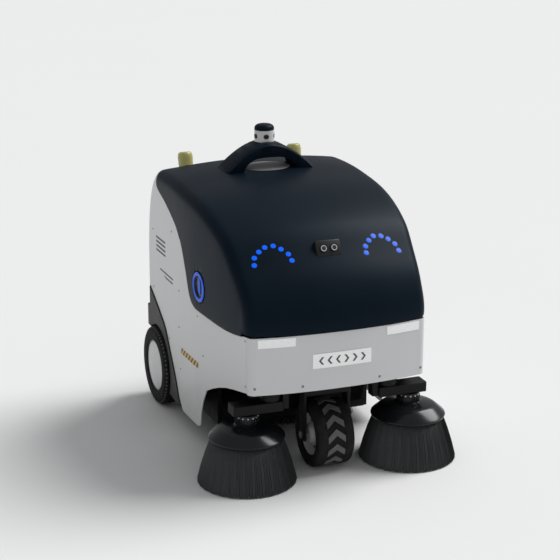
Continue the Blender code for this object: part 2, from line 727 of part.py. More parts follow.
def main_brush():
    centre = (0, station(ROLLER_V), ROLLER_Z)
    body, journal, pulley = RAIL_INNER_X - 0.012, RAIL_OUTER_X + 0.002, RAIL_OUTER_X + 0.003
    profile = [(0, -journal), (0.012, -journal), (0.012, -body), (ROLLER_CORE_R, -body), (ROLLER_CORE_R, body),
               (0.012, body), (0.012, pulley), (ROLLER_PULLEY_R, pulley),
               (ROLLER_PULLEY_R, pulley + PULLEY_WIDTH), (0, pulley + PULLEY_WIDTH)]
    piece("roller_core", turned(profile, "X", centre, 28), "black_plastic", origin=centre, smooth=True)
    bm = tube(ROLLER_CORE_R + SEAT, ROLLER_R, "X", centre, 0.010 - body, body - 0.010)
    piece("roller_bristles", bm, "bristle", origin=centre, smooth=True)


def hopper():
    front, rear = station(HOPPER_FRONT_V), station(BODY_LENGTH - HOPPER_FACE_T)
    half, wall = HOPPER_HALF_WIDTH, HOPPER_WALL
    bm = block((-half, half), (front, rear + 0.001), (HOPPER_BASE_Z, HOPPER_TOP_Z))
    obj = piece("hopper_bin", bm, "black_plastic")
    face = block((-half - 0.020, half + 0.020), (rear, station(BODY_LENGTH)),
                 (HOPPER_BASE_Z + 0.006, HOPPER_TOP_Z + 0.030))
    cut(obj, cutter("hopper_face", face), "UNION")
    box = cutter("hopper_inside", block((wall - half, half - wall), (front + wall, rear - wall),
                                        (HOPPER_BASE_Z + wall, HOPPER_TOP_Z + 0.1)))
    cut(obj, box)
    mouth = block((0.020 - half, half - 0.020), (front - 0.05, front + 0.05), (HOPPER_BASE_Z + 0.075, 0.6))
    cut(obj, cutter("hopper_mouth", mouth))
    back = station(BODY_LENGTH) + SEAT
    reach = HANDLE_REACH - SEAT
    outer = [(-0.105, back), (-0.105, back + reach - 0.008), (-0.097, back + reach), (0.097, back + reach),
             (0.105, back + reach - 0.008), (0.105, back), (0.087, back), (0.087, back + reach - 0.014),
             (-0.087, back + reach - 0.014), (-0.087, back)]
    soften(piece("hopper_handle", prism(outer, "Z", 0.318, 0.338), "steel"), 0.003)


# ---------------------------------------------------------------- wheels

def rear_wheels():
    y, r, outer, inner = station(AXLE_V), REAR_TYRE_R, WHEEL_OUTER_X, WHEEL_INNER_X
    for tag, side in (("left", 1), ("right", -1)):
        centre = (side * (outer + inner) / 2, y, r)
        half = REAR_TYRE_WIDTH / 2
        bore = REAR_RIM_R + SEAT
        section = [(bore, 0.006 - half), (r - 0.045, -half), (r - 0.020, -half), (r - 0.004, 0.012 - half),
                   (r, 0.024 - half), (r, half - 0.024), (r - 0.004, half - 0.012), (r - 0.020, half),
                   (r - 0.045, half), (bore, half - 0.006)]
        piece("rear_tyre_" + tag, turned(section, "X", centre, 48, ring=True), "tyre", centre, True)
        stub = RAIL_INNER_X + 0.001 - (outer + inner) / 2
        face = half - 0.014
        profile = [(0, stub), (AXLE_R, stub), (AXLE_R, -0.030), (0.050, -0.030), (0.060, -0.008),
                   (REAR_RIM_R - 0.010, 0.004 - half + 0.004), (REAR_RIM_R, 0.008 - half),
                   (REAR_RIM_R, half - 0.008), (REAR_RIM_R - 0.008, face), (0, face)]
        profile = [(radius, side * along) for radius, along in profile]
        piece("rear_rim_" + tag, turned(profile, "X", centre, 32), "cast", centre, True)
        low = face + SEAT
        dome = [(0, low), (HUB_CAP_R - 0.004, low)]
        for n in range(6):
            angle = n / 5 * math.pi / 2
            dome.append((HUB_CAP_R * math.cos(angle), low + 0.003 + HUB_CAP_DOME * math.sin(angle)))
        dome = [(radius, side * along) for radius, along in dome]
        piece("hub_cap_" + tag, turned(dome, "X", centre, 40), "grey_hub", centre, True)


def front_wheel():
    centre = (0, station(FRONT_WHEEL_V), FRONT_TYRE_R)
    r, half = FRONT_TYRE_R, FRONT_TYRE_WIDTH / 2
    bore = FRONT_RIM_R + SEAT
    section = [(bore, 0.012 - half), (r - 0.040, 0.002 - half), (r - 0.018, 0.002 - half),
               (r - 0.005, 0.010 - half), (r - 0.004, -half / 2), (r, 0.004 - half / 2), (r, half / 2 - 0.004),
               (r - 0.004, half / 2), (r - 0.005, half - 0.010), (r - 0.018, half - 0.002),
               (r - 0.040, half - 0.002), (bore, half - 0.012)]
    piece("front_tyre", turned(section, "X", centre, 44, ring=True), "tyre", centre, True)
    bore = FRONT_AXLE_R + RUN
    section = [(bore, 0.010 - half), (0.040, 0.010 - half), (0.048, 0.030 - half), (0.080, 0.030 - half),
               (FRONT_RIM_R - 0.004, 0.016 - half), (FRONT_RIM_R, 0.016 - half), (FRONT_RIM_R, half - 0.016),
               (FRONT_RIM_R - 0.004, half - 0.016), (0.080, half - 0.030), (0.048, half - 0.030),
               (0.040, half - 0.010), (bore, half - 0.010)]
    piece("front_rim", turned(section, "X", centre, 32, ring=True), "grey_rim", centre, True)


def steering():
    y, half = station(FRONT_WHEEL_V), FRONT_TYRE_WIDTH / 2 + FORK_GAP
    top = FRONT_TYRE_R * 2 + 0.065
    crown = top - 0.030
    outline = [(-half - FORK_ARM, FRONT_TYRE_R - 0.025), (-half, FRONT_TYRE_R - 0.025), (-half, crown),
               (half, crown), (half, FRONT_TYRE_R - 0.025), (half + FORK_ARM, FRONT_TYRE_R - 0.025),
               (half + FORK_ARM, top), (-half - FORK_ARM, top)]
    bm = prism(outline, "Y", y - 0.030, y + 0.030)
    fork = piece("steering_fork", bm, "black_steel", origin=(0, y, top))
    soften(fork, 0.004)
    shaft = rod(STEER_SHAFT_R, "Z", (0, y, 0), top - 0.010, DECK_UNDER_Z - 0.003, 24)
    cut(fork, cutter("steer_shaft", shaft), "UNION")
    hole = rod(FRONT_AXLE_R + SEAT, "X", (0, y, FRONT_TYRE_R), -0.2, 0.2, 20)
    cut(fork, cutter("fork_holes", hole))
    reach = half + FORK_ARM + 0.006
    centre = (0, y, FRONT_TYRE_R)
    piece("front_axle", rod(FRONT_AXLE_R, "X", centre, -reach, reach, 20), "steel", centre, True)
    bm = tube(STEER_SHAFT_R + RUN, 0.055, "Z", (0, y, 0), top + 0.006, DECK_UNDER_Z - SEAT)
    piece("steering_head", bm, "cast", smooth=True)


# ---------------------------------------------------------------- side brushes

def side_brushes():
    y = station(BRUSH_V)
    for tag, side in (("left", 1), ("right", -1)):
        x = side * BRUSH_X
        centre = (x, y, BRUSH_DISC_Z)
        r = BRUSH_DISC_R
        top = BEAM_Z - BRUSH_DISC_Z - 0.001
        disc = [(0, 0), (r - 0.012, 0), (r, 0.006), (r, 0.012), (r - 0.006, 0.018), (0.132, 0.048),
                (0.112, 0.058), (0.070, 0.066), (0.056, 0.070), (0.056, top), (0, top)]
        piece("brush_disc_" + tag, turned(disc, "Z", centre, 32), "black_plastic", centre, True)
        low, high = BRUSH_FLOOR - BRUSH_DISC_Z, -SEAT
        skirt = [(r - 0.060, high), (r - 0.016, high), (r - 0.006, -0.016), (r + 0.006, -0.060),
                 (BRUSH_TIP_R, low), (BRUSH_TIP_R - 0.055, low)]
        bm = turned(skirt, "Z", centre, 36, ring=True)
        piece("brush_bristles_" + tag, bm, "bristle", centre, True)
        inner = GUIDE_X + GUIDE_T + 0.001
        ends = sorted((side * inner, side * (BRUSH_X + BEAM_OUTER)))
        beam = block(ends, (y - BEAM_HALF_DEPTH, y + BEAM_HALF_DEPTH), (BEAM_Z, BEAM_Z + BEAM_HEIGHT))
        soften(piece("brush_arm_" + tag, beam, "black_steel"), 0.004)
        low = BEAM_Z + BEAM_HEIGHT + SEAT
        place = (side * (inner + 0.052), y, 0)
        motor = rod(0.046, "Z", place, low, DECK_UNDER_Z - BRUSH_LIFT - 0.004, 28)
        soften(piece("brush_motor_" + tag, motor, "black_steel", smooth=True), 0.004)


# ---------------------------------------------------------------- hood

def hood_columns():
    return across(3, 4, 10)


def hood_grid():
    return shell("hood", HOOD_KNOTS, EDGE_KNOTS, 26, hood_columns(), HOOD_LIFT, hood_bulge)


def hood_skin():
    """Guide solid just outside the hood, which trims what stands on it."""
    tool = plain_piece("hood_skin_cutter", hood_grid(), "dark_hood")
    thicken(tool, 0.030, SEAT, even=False)
    tool.hide_render = True
    tool.display_type = "WIRE"
    return tool


def ring_frame(side):
    """Placement of a round lamp in the hood's cheek."""
    v = RING_LAMP_V * HOOD_REAR_V
    slope = (flare(v + 0.05) - flare(v - 0.05)) / 0.1
    x = side * (SEAM_HALF_WIDTH + flare(v) + HOOD_LIFT)
    turn = Matrix.Rotation(-side * math.atan(slope), 4, "Z")
    return Matrix.Translation((x, station(v), RING_LAMP_Z)) @ turn


def ring_lamps(hood):
    holes = bmesh.new()
    for tag, side in (("left", 1), ("right", -1)):
        frame = ring_frame(side)
        hole = rod(RING_LAMP_R + SEAT, "X", (0, 0, 0), -0.031, 0.029, 40)
        bmesh.ops.transform(hole, matrix=frame, verts=hole.verts)
        bmesh.ops.recalc_face_normals(hole, faces=hole.faces)
        mesh = bpy.data.meshes.new("ring_hole_" + tag)
        hole.to_mesh(mesh)
        hole.free()
        holes.from_mesh(mesh)
        ends = sorted((side * -0.014, side * 0.002))
        bm = rod(RING_LAMP_R, "X", (0, 0, 0), *ends, 40)
        bmesh.ops.transform(bm, matrix=frame, verts=bm.verts)
        piece("ring_light_" + tag, bm, "blue_lamp", smooth=True)
    cut(hood, cutter("ring_holes", holes))


def sensor_arch(skin):
    """A low bridge over the roof, with a sloping front edge."""
    front, back = ARCH_FRONT_V, ARCH_FRONT_V + ARCH_DEPTH
    places = [place_at(hood_surface, 1, station(v)) for v in (front, back)]
    span = BODY_HALF_WIDTH - SHOULDER + HOOD_LIFT
    foot = hood_surface(places[0], ARCH_HALF / span).z - 0.003
    bm = bmesh.new()
    previous, face = None, None
    for n in range(-16, 17):
        f = n / 16
        x = f * ARCH_HALF
        top = ARCH_TOP_Z - (ARCH_TOP_Z - foot) * abs(f) ** 1.85
        inside = abs(x) / ARCH_OPENING_HALF
        rise = ARCH_OPENING_RISE * (1 - inside**4) if inside < 1 else -0.015
        low = [min(hood_surface(place, abs(x) / span).z + rise, top - 0.013) for place in places]
        taper = 0.018 * (1 - f * f)
        section = [(front + taper * 0.5, low[0]), (front, top - 0.010), (front + 0.022, top),
                   (back - 0.016 - taper, top), (back - taper, low[1])]
        points = [Vector((x, station(v), z)) for v, z in section]
        if previous is None:
            face = bm.faces.new([bm.verts.new(point) for point in points])
        else:
            made = bmesh.ops.extrude_face_region(bm, geom=[face])["geom"]
            verts = [g for g in made if isinstance(g, bmesh.types.BMVert)]
            if n > -15 and face.is_valid:
                bm.faces.remove(face)
            for vert in verts:
                index = min(range(5), key=lambda k: (vert.co - previous[k]).length)
                vert.co = points[index]
            face = [g for g in made if isinstance(g, bmesh.types.BMFace)][0]
        previous = points
    obj = piece("sensor_arch", bm, "dark_hood", smooth=True)
    cut(obj, skin, crossing=True)
    seat_z = ARCH_TOP_Z - 0.004
    head_y = station(HEAD_V)
    pocket = rod(HEAD_R + SEAT, "Z", (0, head_y, 0), seat_z, seat_z + 0.05, 40)
    cut(obj, cutter("head_pocket", pocket))
    return head_y, seat_z


def sensor_head(head_y, seat_z):
    base = seat_z + SEAT
    centre = (0, head_y, 0)
    top = base + HEAD_BAND
    piece("lidar_base", rod(HEAD_R, "Z", centre, base, top, 40), "white_panel", smooth=True)
    low = top + SEAT
    dome = [(0, low), (HEAD_R - 0.001, low)]
    for n in range(6):
        angle = n / 5 * math.pi / 2
        dome.append((HEAD_R * math.cos(angle) ** 0.6 if n < 5 else 0.0,
                     low + 0.008 + (HEAD_DOME - 0.008) * math.sin(angle)))
    piece("lidar_dome", turned(dome, "Z", centre, 40), "dark_hood", smooth=True)


def front_camera(skin):
    place = place_at(hood_surface, 2, 1.030)
    point = hood_surface(place)
    nv, nz = outward(HOOD_KNOTS, place)
    lean = math.atan2(nz, -nv) * 0.6
    frame = Matrix.Translation(point) @ Matrix.Rotation(-lean, 4, "X")
    bm = block((-0.060, 0.060), (-0.014, 0.014), (-0.038, 0.038))
    bmesh.ops.transform(bm, matrix=frame, verts=bm.verts)
    obj = piece("camera_housing", bm, "black_plastic")
    soften(obj, 0.006, 2)
    cut(obj, skin, crossing=True)
    for tag, x in (("left", 0.025), ("right", -0.025)):
        bm = rod(0.017, "Y", (x, 0, 0), -0.0185, -0.0145, 24)
        bmesh.ops.transform(bm, matrix=frame, verts=bm.verts)
        piece("camera_lens_" + tag, bm, "lens", smooth=True)


def hinge_arms():
    _, y, z = hinge_line()
    reach = 0.120
    for tag, side in (("left", 1), ("right", -1)):
        x = side * HINGE_ARM_X
        share = HINGE_ARM_X / (BODY_HALF_WIDTH - SHOULDER + HOOD_LIFT)
        ceiling = [hood_surface(place_at(hood_surface, 1, y - d), share).z - SKIN - 0.0015
                   for d in (reach, 0.030)]
        outline = [(y - reach, ceiling[0]), (y - reach, ceiling[0] - 0.012), (y - 0.020, z - 0.014),
                   (y, z - 0.018), (y + 0.013, z - 0.013), (y + 0.018, z), (y + 0.012, z + 0.013),
                   (y - 0.030, ceiling[1])]
        bm = prism(outline, "X", x - 0.008, x + 0.008)
        obj = piece("hinge_arm_" + tag, bm, "black_steel", origin=(0, y, z))
        bore = rod(HINGE_ROD_R + RUN, "X", (x, y, z), -0.02, 0.02, 20)
        cut(obj, cutter("hinge_bore_" + tag, bore))


def hood():
    _, y, z = hinge_line()
    obj = plain_piece("hood_shell", hood_grid(), "dark_hood", origin=(0, y, z), smooth=True)
    thicken(obj, SKIN)
    ring_lamps(obj)
    skin = hood_skin()
    sensor_head(*sensor_arch(skin))
    front_camera(skin)
    hinge_arms()


def main():
    for obj in list(bpy.data.objects):
        bpy.data.objects.remove(obj, do_unlink=True)
    chassis_frame()
    front_bulkhead()
    side_panels()
    front_panel()
    front_trim()
    rear_shell()
    rear_bumper()
    fenders()
    beacons()
    emergency_button()
    hinge_rod()
    power_units()
    drive_motors()
    roller_drive()
    roller_housing()
    main_brush()
    hopper()
    rear_wheels()
    front_wheel()
    steering()
    side_brushes()
    hood()


main()
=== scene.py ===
"""Looks of a self-driving outdoor sweeper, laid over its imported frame.

Metres, +Z up. The machine faces -Y, and its own left side is +X.
"""

import json
import math
import random

import bmesh
import bpy
from mathutils import Matrix, Vector
from mathutils.bvhtree import BVHTree


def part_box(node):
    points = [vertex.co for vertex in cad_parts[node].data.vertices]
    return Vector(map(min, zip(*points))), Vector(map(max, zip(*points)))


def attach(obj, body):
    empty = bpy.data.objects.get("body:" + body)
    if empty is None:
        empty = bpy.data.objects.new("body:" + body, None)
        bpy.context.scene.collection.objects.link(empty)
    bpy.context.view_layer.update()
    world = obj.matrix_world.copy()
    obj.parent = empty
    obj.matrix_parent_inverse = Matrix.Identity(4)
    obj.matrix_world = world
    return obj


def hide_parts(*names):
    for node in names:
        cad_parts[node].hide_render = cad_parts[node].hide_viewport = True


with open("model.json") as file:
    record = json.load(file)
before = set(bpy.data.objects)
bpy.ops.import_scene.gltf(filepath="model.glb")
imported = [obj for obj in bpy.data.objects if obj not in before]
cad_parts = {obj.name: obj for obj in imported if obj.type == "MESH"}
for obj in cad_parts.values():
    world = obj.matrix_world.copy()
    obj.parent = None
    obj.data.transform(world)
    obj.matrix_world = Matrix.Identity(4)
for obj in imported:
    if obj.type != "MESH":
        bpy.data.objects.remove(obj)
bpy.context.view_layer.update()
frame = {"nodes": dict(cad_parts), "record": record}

bl_info = {
    "name": "Outdoor sweeper looks",
    "version": (1, 0, 0),
    "blender": (4, 5, 0),
    "location": "View3D > Sidebar > Sweeper",
    "description": "Dresses the sweeper's frame with its shells, brushes, tyres and lamps",
    "category": "Object",
}

SIDES = (("left", 1), ("right", -1))
BODY_OF = {node: body for body, nodes in frame["record"]["behaviour"]["bodies"].items() for node in nodes}
SLOT_OF = {part["node"]: part["material_slot"] for part in frame["record"]["subparts"]}
SINK = 0.0004                  # a fitting's foot goes this far into what it stands on

CAMERA_PLACE = (-2.602, -6.693, 2.863)
CAMERA_TURN = -21.01           # degrees about Z, then degrees down
CAMERA_DIP = 16.43
CAMERA_LENS = 100.94           # millimetres, on a 36 mm sensor
KEY_TRAVEL = (-0.66, -0.10, -0.74)
KEY_POWER = 2.80
KEY_SPREAD = 36                # degrees
AIR_LIGHT = 0.40
FLOOR_HALF = 60.0

# CAD nodes whose own shape is right and only need merging, softer edges and a finish
PLAIN_NODES = {
    "chassis_frame": 0.0010, "front_bulkhead": 0.0015, "side_panel_left": 0.0008,
    "side_panel_right": 0.0008, "front_panel": 0.0008, "rear_bumper": 0.0, "fender_left": 0.0,
    "fender_right": 0.0, "hinge_rod": 0.0006, "roller_housing": 0.0008, "roller_motor": 0.0,
    "drive_motor_left": 0.0, "drive_motor_right": 0.0, "motor_pulley": 0.0006, "drive_belt": 0.0004,
    "steering_fork": 0.0, "steering_head": 0.0015, "front_axle": 0.0012, "front_rim": 0.0012,
    "rear_rim_left": 0.0015, "rear_rim_right": 0.0015, "brush_arm_left": 0.0, "brush_arm_right": 0.0,
    "brush_motor_left": 0.0, "brush_motor_right": 0.0, "roller_core": 0.0010, "hopper_bin": 0.0012,
    "hopper_handle": 0.0, "hinge_arm_left": 0.0010, "hinge_arm_right": 0.0010, "camera_housing": 0.0,
    "controller_box": 0.0, "battery_pack": 0.0, "fan_housing": 0.0015, "emergency_button": 0.0010,
    "lidar_base": 0.0008, "chevron_plate": 0.0008, "reflector_left": 0.0008, "reflector_right": 0.0008,
}


# ---------------------------------------------------------------- sizes and colours

class SweeperSizes(bpy.types.PropertyGroup):
    """Sizes of the fittings that the frame doesn't carry."""
    eye_lamp: bpy.props.FloatProperty(
        name="Eye lamp radius", description="Radius of one lamp in the front arcs",
        default=0.0125, unit="LENGTH")
    screw: bpy.props.FloatProperty(
        name="Screw radius", description="Radius of a panel screw's head",
        default=0.0065, unit="LENGTH")
    strand: bpy.props.FloatProperty(
        name="Bristle radius", description="Radius of a brush filament at its root",
        default=0.0016, unit="LENGTH")
    tread: bpy.props.FloatProperty(
        name="Tread depth", description="Depth of the tyres' tread",
        default=0.006, unit="LENGTH")


class SweeperColours(bpy.types.PropertyGroup):
    """Colours of the finishes."""
    panel: bpy.props.FloatVectorProperty(
        name="Panels", description="Painted body panels", subtype="COLOR",
        default=(0.64, 0.645, 0.65))
    hood: bpy.props.FloatVectorProperty(
        name="Hood", description="Gloss shell of the hood", subtype="COLOR",
        default=(0.0030, 0.0075, 0.0140))
    lamp: bpy.props.FloatVectorProperty(
        name="Lamps", description="Light of the front lamps", subtype="COLOR",
        default=(0.0, 0.115, 0.90))
    beacon: bpy.props.FloatVectorProperty(
        name="Beacons", description="Lens of the rear beacons", subtype="COLOR",
        default=(0.33, 0.31, 0.10))
    bristle: bpy.props.FloatVectorProperty(
        name="Bristles", description="Brush filaments", subtype="COLOR",
        default=(0.030, 0.031, 0.033))


# ---------------------------------------------------------------- finishes

class Wire:
    """A node's output, on which Python's operators add Math nodes."""

    def __init__(self, finish, socket):
        self.finish = finish
        self.socket = socket

    def _maths(self, operation, first, second):
        return self.finish.node("ShaderNodeMath", {"operation": operation}, {0: first, 1: second})

    def __add__(self, other):
        return self._maths("ADD", self, other)

    __radd__ = __add__

    def __sub__(self, other):
        return self._maths("SUBTRACT", self, other)

    def __rsub__(self, other):
        return self._maths("SUBTRACT", other, self)

    def __mul__(self, other):
        return self._maths("MULTIPLY", self, other)

    __rmul__ = __mul__


class Finish:
    """One material, built node by node."""

    def __init__(self, name, roughness=0.5, metallic=0.0, coat=0.0):
        self.material = bpy.data.materials.new(name)
        self.material.use_nodes = True
        self.tree = self.material.node_tree
        self.shader = self.tree.nodes["Principled BSDF"]
        self.shader.inputs["Roughness"].default_value = roughness
        self.shader.inputs["Metallic"].default_value = metallic
        self.shader.inputs["Coat Weight"].default_value = coat

    def node(self, kind, settings=None, inputs=None, output=0):
        """A node with its settings made first, then its inputs set or linked."""
        node = self.tree.nodes.new(kind)
        for name, value in (settings or {}).items():
            if name == "stops":
                for element, (place, colour) in zip(node.color_ramp.elements, value):
                    element.position = place
                    element.color = colour
            else:
                setattr(node, name, value)
        for key, value in (inputs or {}).items():
            if isinstance(value, Wire):
                self.tree.links.new(value.socket, node.inputs[key])
            else:
                node.inputs[key].default_value = value
        return Wire(self, node.outputs[output])

    def put(self, **wires):
        for name, value in wires.items():
            socket = self.shader.inputs[name.replace("_", " ")]
            if isinstance(value, Wire):
                self.tree.links.new(value.socket, socket)
            else:
                socket.default_value = value

    def place(self, scale=(1, 1, 1), centre=(0, 0, 0)):
        """Object coordinates, centred and scaled."""
        raw = self.node("ShaderNodeTexCoord", output="Object")
        offset = tuple(-c * s for c, s in zip(centre, scale))
        return self.node("ShaderNodeMapping", {}, {"Vector": raw, "Location": offset, "Scale": scale})

    def noise(self, scale, detail=3.0, stretch=(1, 1, 1)):
        return self.node("ShaderNodeTexNoise", {}, {"Vector": self.place(stretch), "Scale": scale,
                                                    "Detail": detail})

    def axis(self, letter, centre=(0, 0, 0)):
        return self.node("ShaderNodeSeparateXYZ", {}, {0: self.place(centre=centre)}, letter)

    def band(self, value, low, high):
        """0 below low, 1 above high, smooth between."""
        return self.node("ShaderNodeMapRange", {"interpolation_type": "SMOOTHSTEP"},
                         {"Value": value, "From Min": low, "From Max": high})

    def blend(self, factor, first, second):
        inputs = {0: factor}
        for index, colour in ((6, first), (7, second)):
            inputs[index] = colour if isinstance(colour, Wire) else (*colour, 1.0)
        return self.node("ShaderNodeMix", {"data_type": "RGBA"}, inputs, 2)

    def bump(self, height, distance, strength=1.0):
        self.put(Normal=self.node("ShaderNodeBump", {}, {"Height": height, "Distance": distance,
                                                        "Strength": strength}))


def shade(colour, factor):
    return tuple(c * factor for c in colour)


def panel_paint(name, colour):
    """Satin paint with a faint orange peel and road dust towards the floor."""
    finish = Finish(name, 0.42, coat=0.15)
    cloud = finish.noise(5.0, 5.0)
    dust = (1 - finish.band(finish.axis("Z"), 0.08, 0.50)) * finish.band(cloud, 0.35, 0.7)
    clean = finish.blend(cloud, shade(colour, 0.965), shade(colour, 1.03))
    finish.put(Base_Color=finish.blend(dust * 0.30, clean, (0.36, 0.34, 0.31)))
    finish.put(Roughness=0.36 + cloud * 0.10 + dust * 0.20)
    finish.bump(finish.noise(420.0, 1.0), 0.00012, 0.35)
    return finish.material


def hood_gloss(name, colour):
    """Deep gloss moulding with fine swirls of wear and a cloudy, uneven tone."""
    finish = Finish(name, 0.36)
    finish.put(Specular_IOR_Level=0.08, Specular_Tint=(0.70, 0.86, 1.0, 1.0))
    cloud = finish.noise(3.2, 6.0)
    wisp = finish.noise(46.0, 4.0, (1, 1, 0.25))
    finish.put(Base_Color=finish.blend(cloud, shade(colour, 0.85), shade(colour, 1.25)))
    finish.put(Roughness=0.36 + cloud * 0.09 + wisp * 0.05)
    finish.bump(finish.noise(9.0, 2.0), 0.0006, 0.10)
    return finish.material


def grained_plastic(name, colour, roughness=0.5, grain=900.0):
    """Moulded plastic with a fine grain and scuffed patches."""
    finish = Finish(name, roughness)
    finish.put(Specular_IOR_Level=0.3)
    cloud = finish.noise(12.0, 5.0)
    dust = 1 - finish.band(finish.axis("Z"), 0.02, 0.42)
    body = finish.blend(cloud, shade(colour, 0.80), shade(colour, 1.25))
    finish.put(Base_Color=finish.blend(dust * cloud * 0.22, body, (0.040, 0.039, 0.037)))
    finish.put(Roughness=roughness - 0.08 + cloud * 0.16)
    finish.bump(finish.noise(grain, 2.0), 0.00025, 0.5)
    return finish.material


def powder_coat(name, colour):
    finish = Finish(name, 0.48)
    finish.put(Specular_IOR_Level=0.2)
    cloud = finish.noise(20.0, 4.0)
    finish.put(Base_Color=finish.blend(cloud, shade(colour, 0.75), shade(colour, 1.35)))
    finish.put(Roughness=0.40 + cloud * 0.16)
    finish.bump(finish.noise(600.0, 2.0), 0.0003, 0.45)
    return finish.material


def bare_metal(name, colour, stretch=(1, 1, 1), roughness=0.28):
    """Metal drawn or brushed along one axis."""
    finish = Finish(name, roughness, 1.0)
    lines = finish.noise(260.0, 3.0, stretch)
    stain = finish.noise(18.0, 5.0)
    finish.put(Base_Color=finish.blend(stain, shade(colour, 0.72), colour))
    finish.put(Roughness=roughness - 0.06 + lines * 0.18 + stain * 0.08)
    finish.bump(lines, 0.00010, 0.4)
    return finish.material


def cast_metal(name, colour):
    finish = Finish(name, 0.52, 0.75)
    sand = finish.noise(340.0, 4.0)
    stain = finish.noise(14.0, 4.0)
    finish.put(Base_Color=finish.blend(stain, shade(colour, 0.7), shade(colour, 1.1)))
    finish.put(Roughness=0.44 + sand * 0.2)
    finish.bump(sand, 0.0004, 0.6)
    return finish.material


def tyre_rubber(name):
    """Rubber greyed by dust in random patches."""
    finish = Finish(name, 0.82)
    finish.put(Specular_IOR_Level=0.2)
    cloud = finish.noise(24.0, 6.0)
    speck = finish.noise(300.0, 3.0)
    grime = finish.band(cloud, 0.42, 0.72)
    finish.put(Base_Color=finish.blend(grime * 0.7, (0.009, 0.009, 0.009), (0.022, 0.021, 0.020)))
    finish.put(Roughness=0.70 + speck * 0.2)
    finish.bump(speck * 0.5 + cloud * 0.5, 0.0006, 0.5)
    return finish.material


def worn_tread(name):
    """The blocks of a tread, lighter where they meet the road."""
    finish = Finish(name, 0.85)
    cloud = finish.noise(60.0, 4.0)
    finish.put(Base_Color=finish.blend(cloud, (0.085, 0.085, 0.085), (0.150, 0.148, 0.142)))
    finish.put(Roughness=0.78 + cloud * 0.15)
    finish.bump(finish.noise(420.0, 3.0), 0.0004, 0.5)
    return finish.material


def filament(name, colour):
    """Stiff plastic filaments: streaked lengthwise and paler at worn tips."""
    finish = Finish(name, 0.62)
    streak = finish.noise(230.0, 3.0, (1, 1, 0.06))
    patch = finish.noise(16.0, 3.0)
    tip = 1 - finish.band(finish.axis("Z"), 0.0, 0.10)
    body = finish.blend(streak, shade(colour, 0.55), shade(colour, 1.75))
    finish.put(Base_Color=finish.blend(tip * patch * 0.35, body, shade(colour, 2.6)))
    finish.put(Roughness=0.50 + streak * 0.25)
    finish.bump(streak, 0.0008, 0.6)
    return finish.material


def honeycomb_reflector(name):
    finish = Finish(name, 0.28, coat=0.5)
    cells = finish.node("ShaderNodeTexVoronoi", {"feature": "DISTANCE_TO_EDGE"},
                        {"Vector": finish.place((1, 0.02, 1)), "Scale": 260.0})
    line = finish.band(cells, 0.02, 0.12)
    finish.put(Base_Color=finish.blend(line, (0.70, 0.71, 0.72), (0.93, 0.93, 0.93)))
    finish.put(Roughness=0.42 - line * 0.18)
    finish.bump(line, 0.0002, 0.5)
    # painted light: a faint white emission brightens the reflector, which is no lamp
    finish.put(Emission_Color=(1, 1, 1, 1), Emission_Strength=0.10)
    return finish.material


def lit_lamp(name, colour, strength):
    """A lamp's diffuser over its light, its colour varying in a fine cloud."""
    finish = Finish(name, 0.3)
    finish.put(Specular_IOR_Level=0.2)
    cloud = finish.noise(150.0, 2.0)
    finish.put(Base_Color=finish.blend(cloud, shade(colour, 0.10), shade(colour, 0.2)))
    finish.put(Emission_Color=finish.blend(cloud, shade(colour, 0.85), colour))
    finish.put(Emission_Strength=strength)
    finish.put(Roughness=0.25 + cloud * 0.15)
    return finish.material


def beacon_lens(name, colour):
    """A ribbed translucent lens, painted darker towards its foot as painted shade and lighter towards its
    top as a painted highlight.
    """
    finish = Finish(name, 0.34, coat=0.4)
    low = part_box("beacon_left")[0].z
    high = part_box("beacon_left")[1].z
    rise = finish.band(finish.axis("Z"), low, high)
    rings = finish.node("ShaderNodeTexWave", {"bands_direction": "Z"},
                        {"Vector": finish.place(), "Scale": 46.0})
    # painted shade and highlight: the lens colour runs from darker at its foot to lighter at its top
    finish.put(Base_Color=finish.blend(rise, shade(colour, 0.66), shade(colour, 1.25)))
    finish.put(Emission_Color=(*colour, 1), Emission_Strength=0.04)
    finish.put(Roughness=0.30 + rings * 0.12)
    finish.bump(rings, 0.0008, 0.5)
    return finish.material


def lens_glass(name):
    finish = Finish(name, 0.06, coat=1.0)
    smear = finish.noise(90.0, 4.0)
    finish.put(Base_Color=finish.blend(smear, (0.004, 0.005, 0.009), (0.012, 0.014, 0.022)))
    finish.put(Roughness=0.04 + smear * 0.08)
    return finish.material


def pleated_paper(name):
    finish = Finish(name, 0.92)
    fibre = finish.noise(700.0, 4.0, (1, 1, 0.4))
    dust = finish.noise(14.0, 5.0)
    finish.put(Base_Color=finish.blend(dust, (0.62, 0.57, 0.45), (0.76, 0.72, 0.62)))
    finish.put(Roughness=0.86 + fibre * 0.1)
    finish.bump(fibre, 0.0003, 0.6)
    return finish.material


def hazard_tape(name):
    """Yellow and dark stripes leaning across a strip."""
    finish = Finish(name, 0.4)
    slant = finish.axis("Y") + finish.axis("Z") * 0.9
    wave = finish.node("ShaderNodeMath", {"operation": "FRACT"}, {0: slant * 27.0 + 100.0})
    edge = finish.band(wave, 0.47, 0.53)
    wear = finish.noise(90.0, 5.0)
    finish.put(Base_Color=finish.blend(edge, (0.70, 0.42, 0.01), (0.03, 0.03, 0.03)))
    finish.put(Roughness=0.34 + wear * 0.2)
    finish.bump(wear, 0.0001, 0.4)
    return finish.material


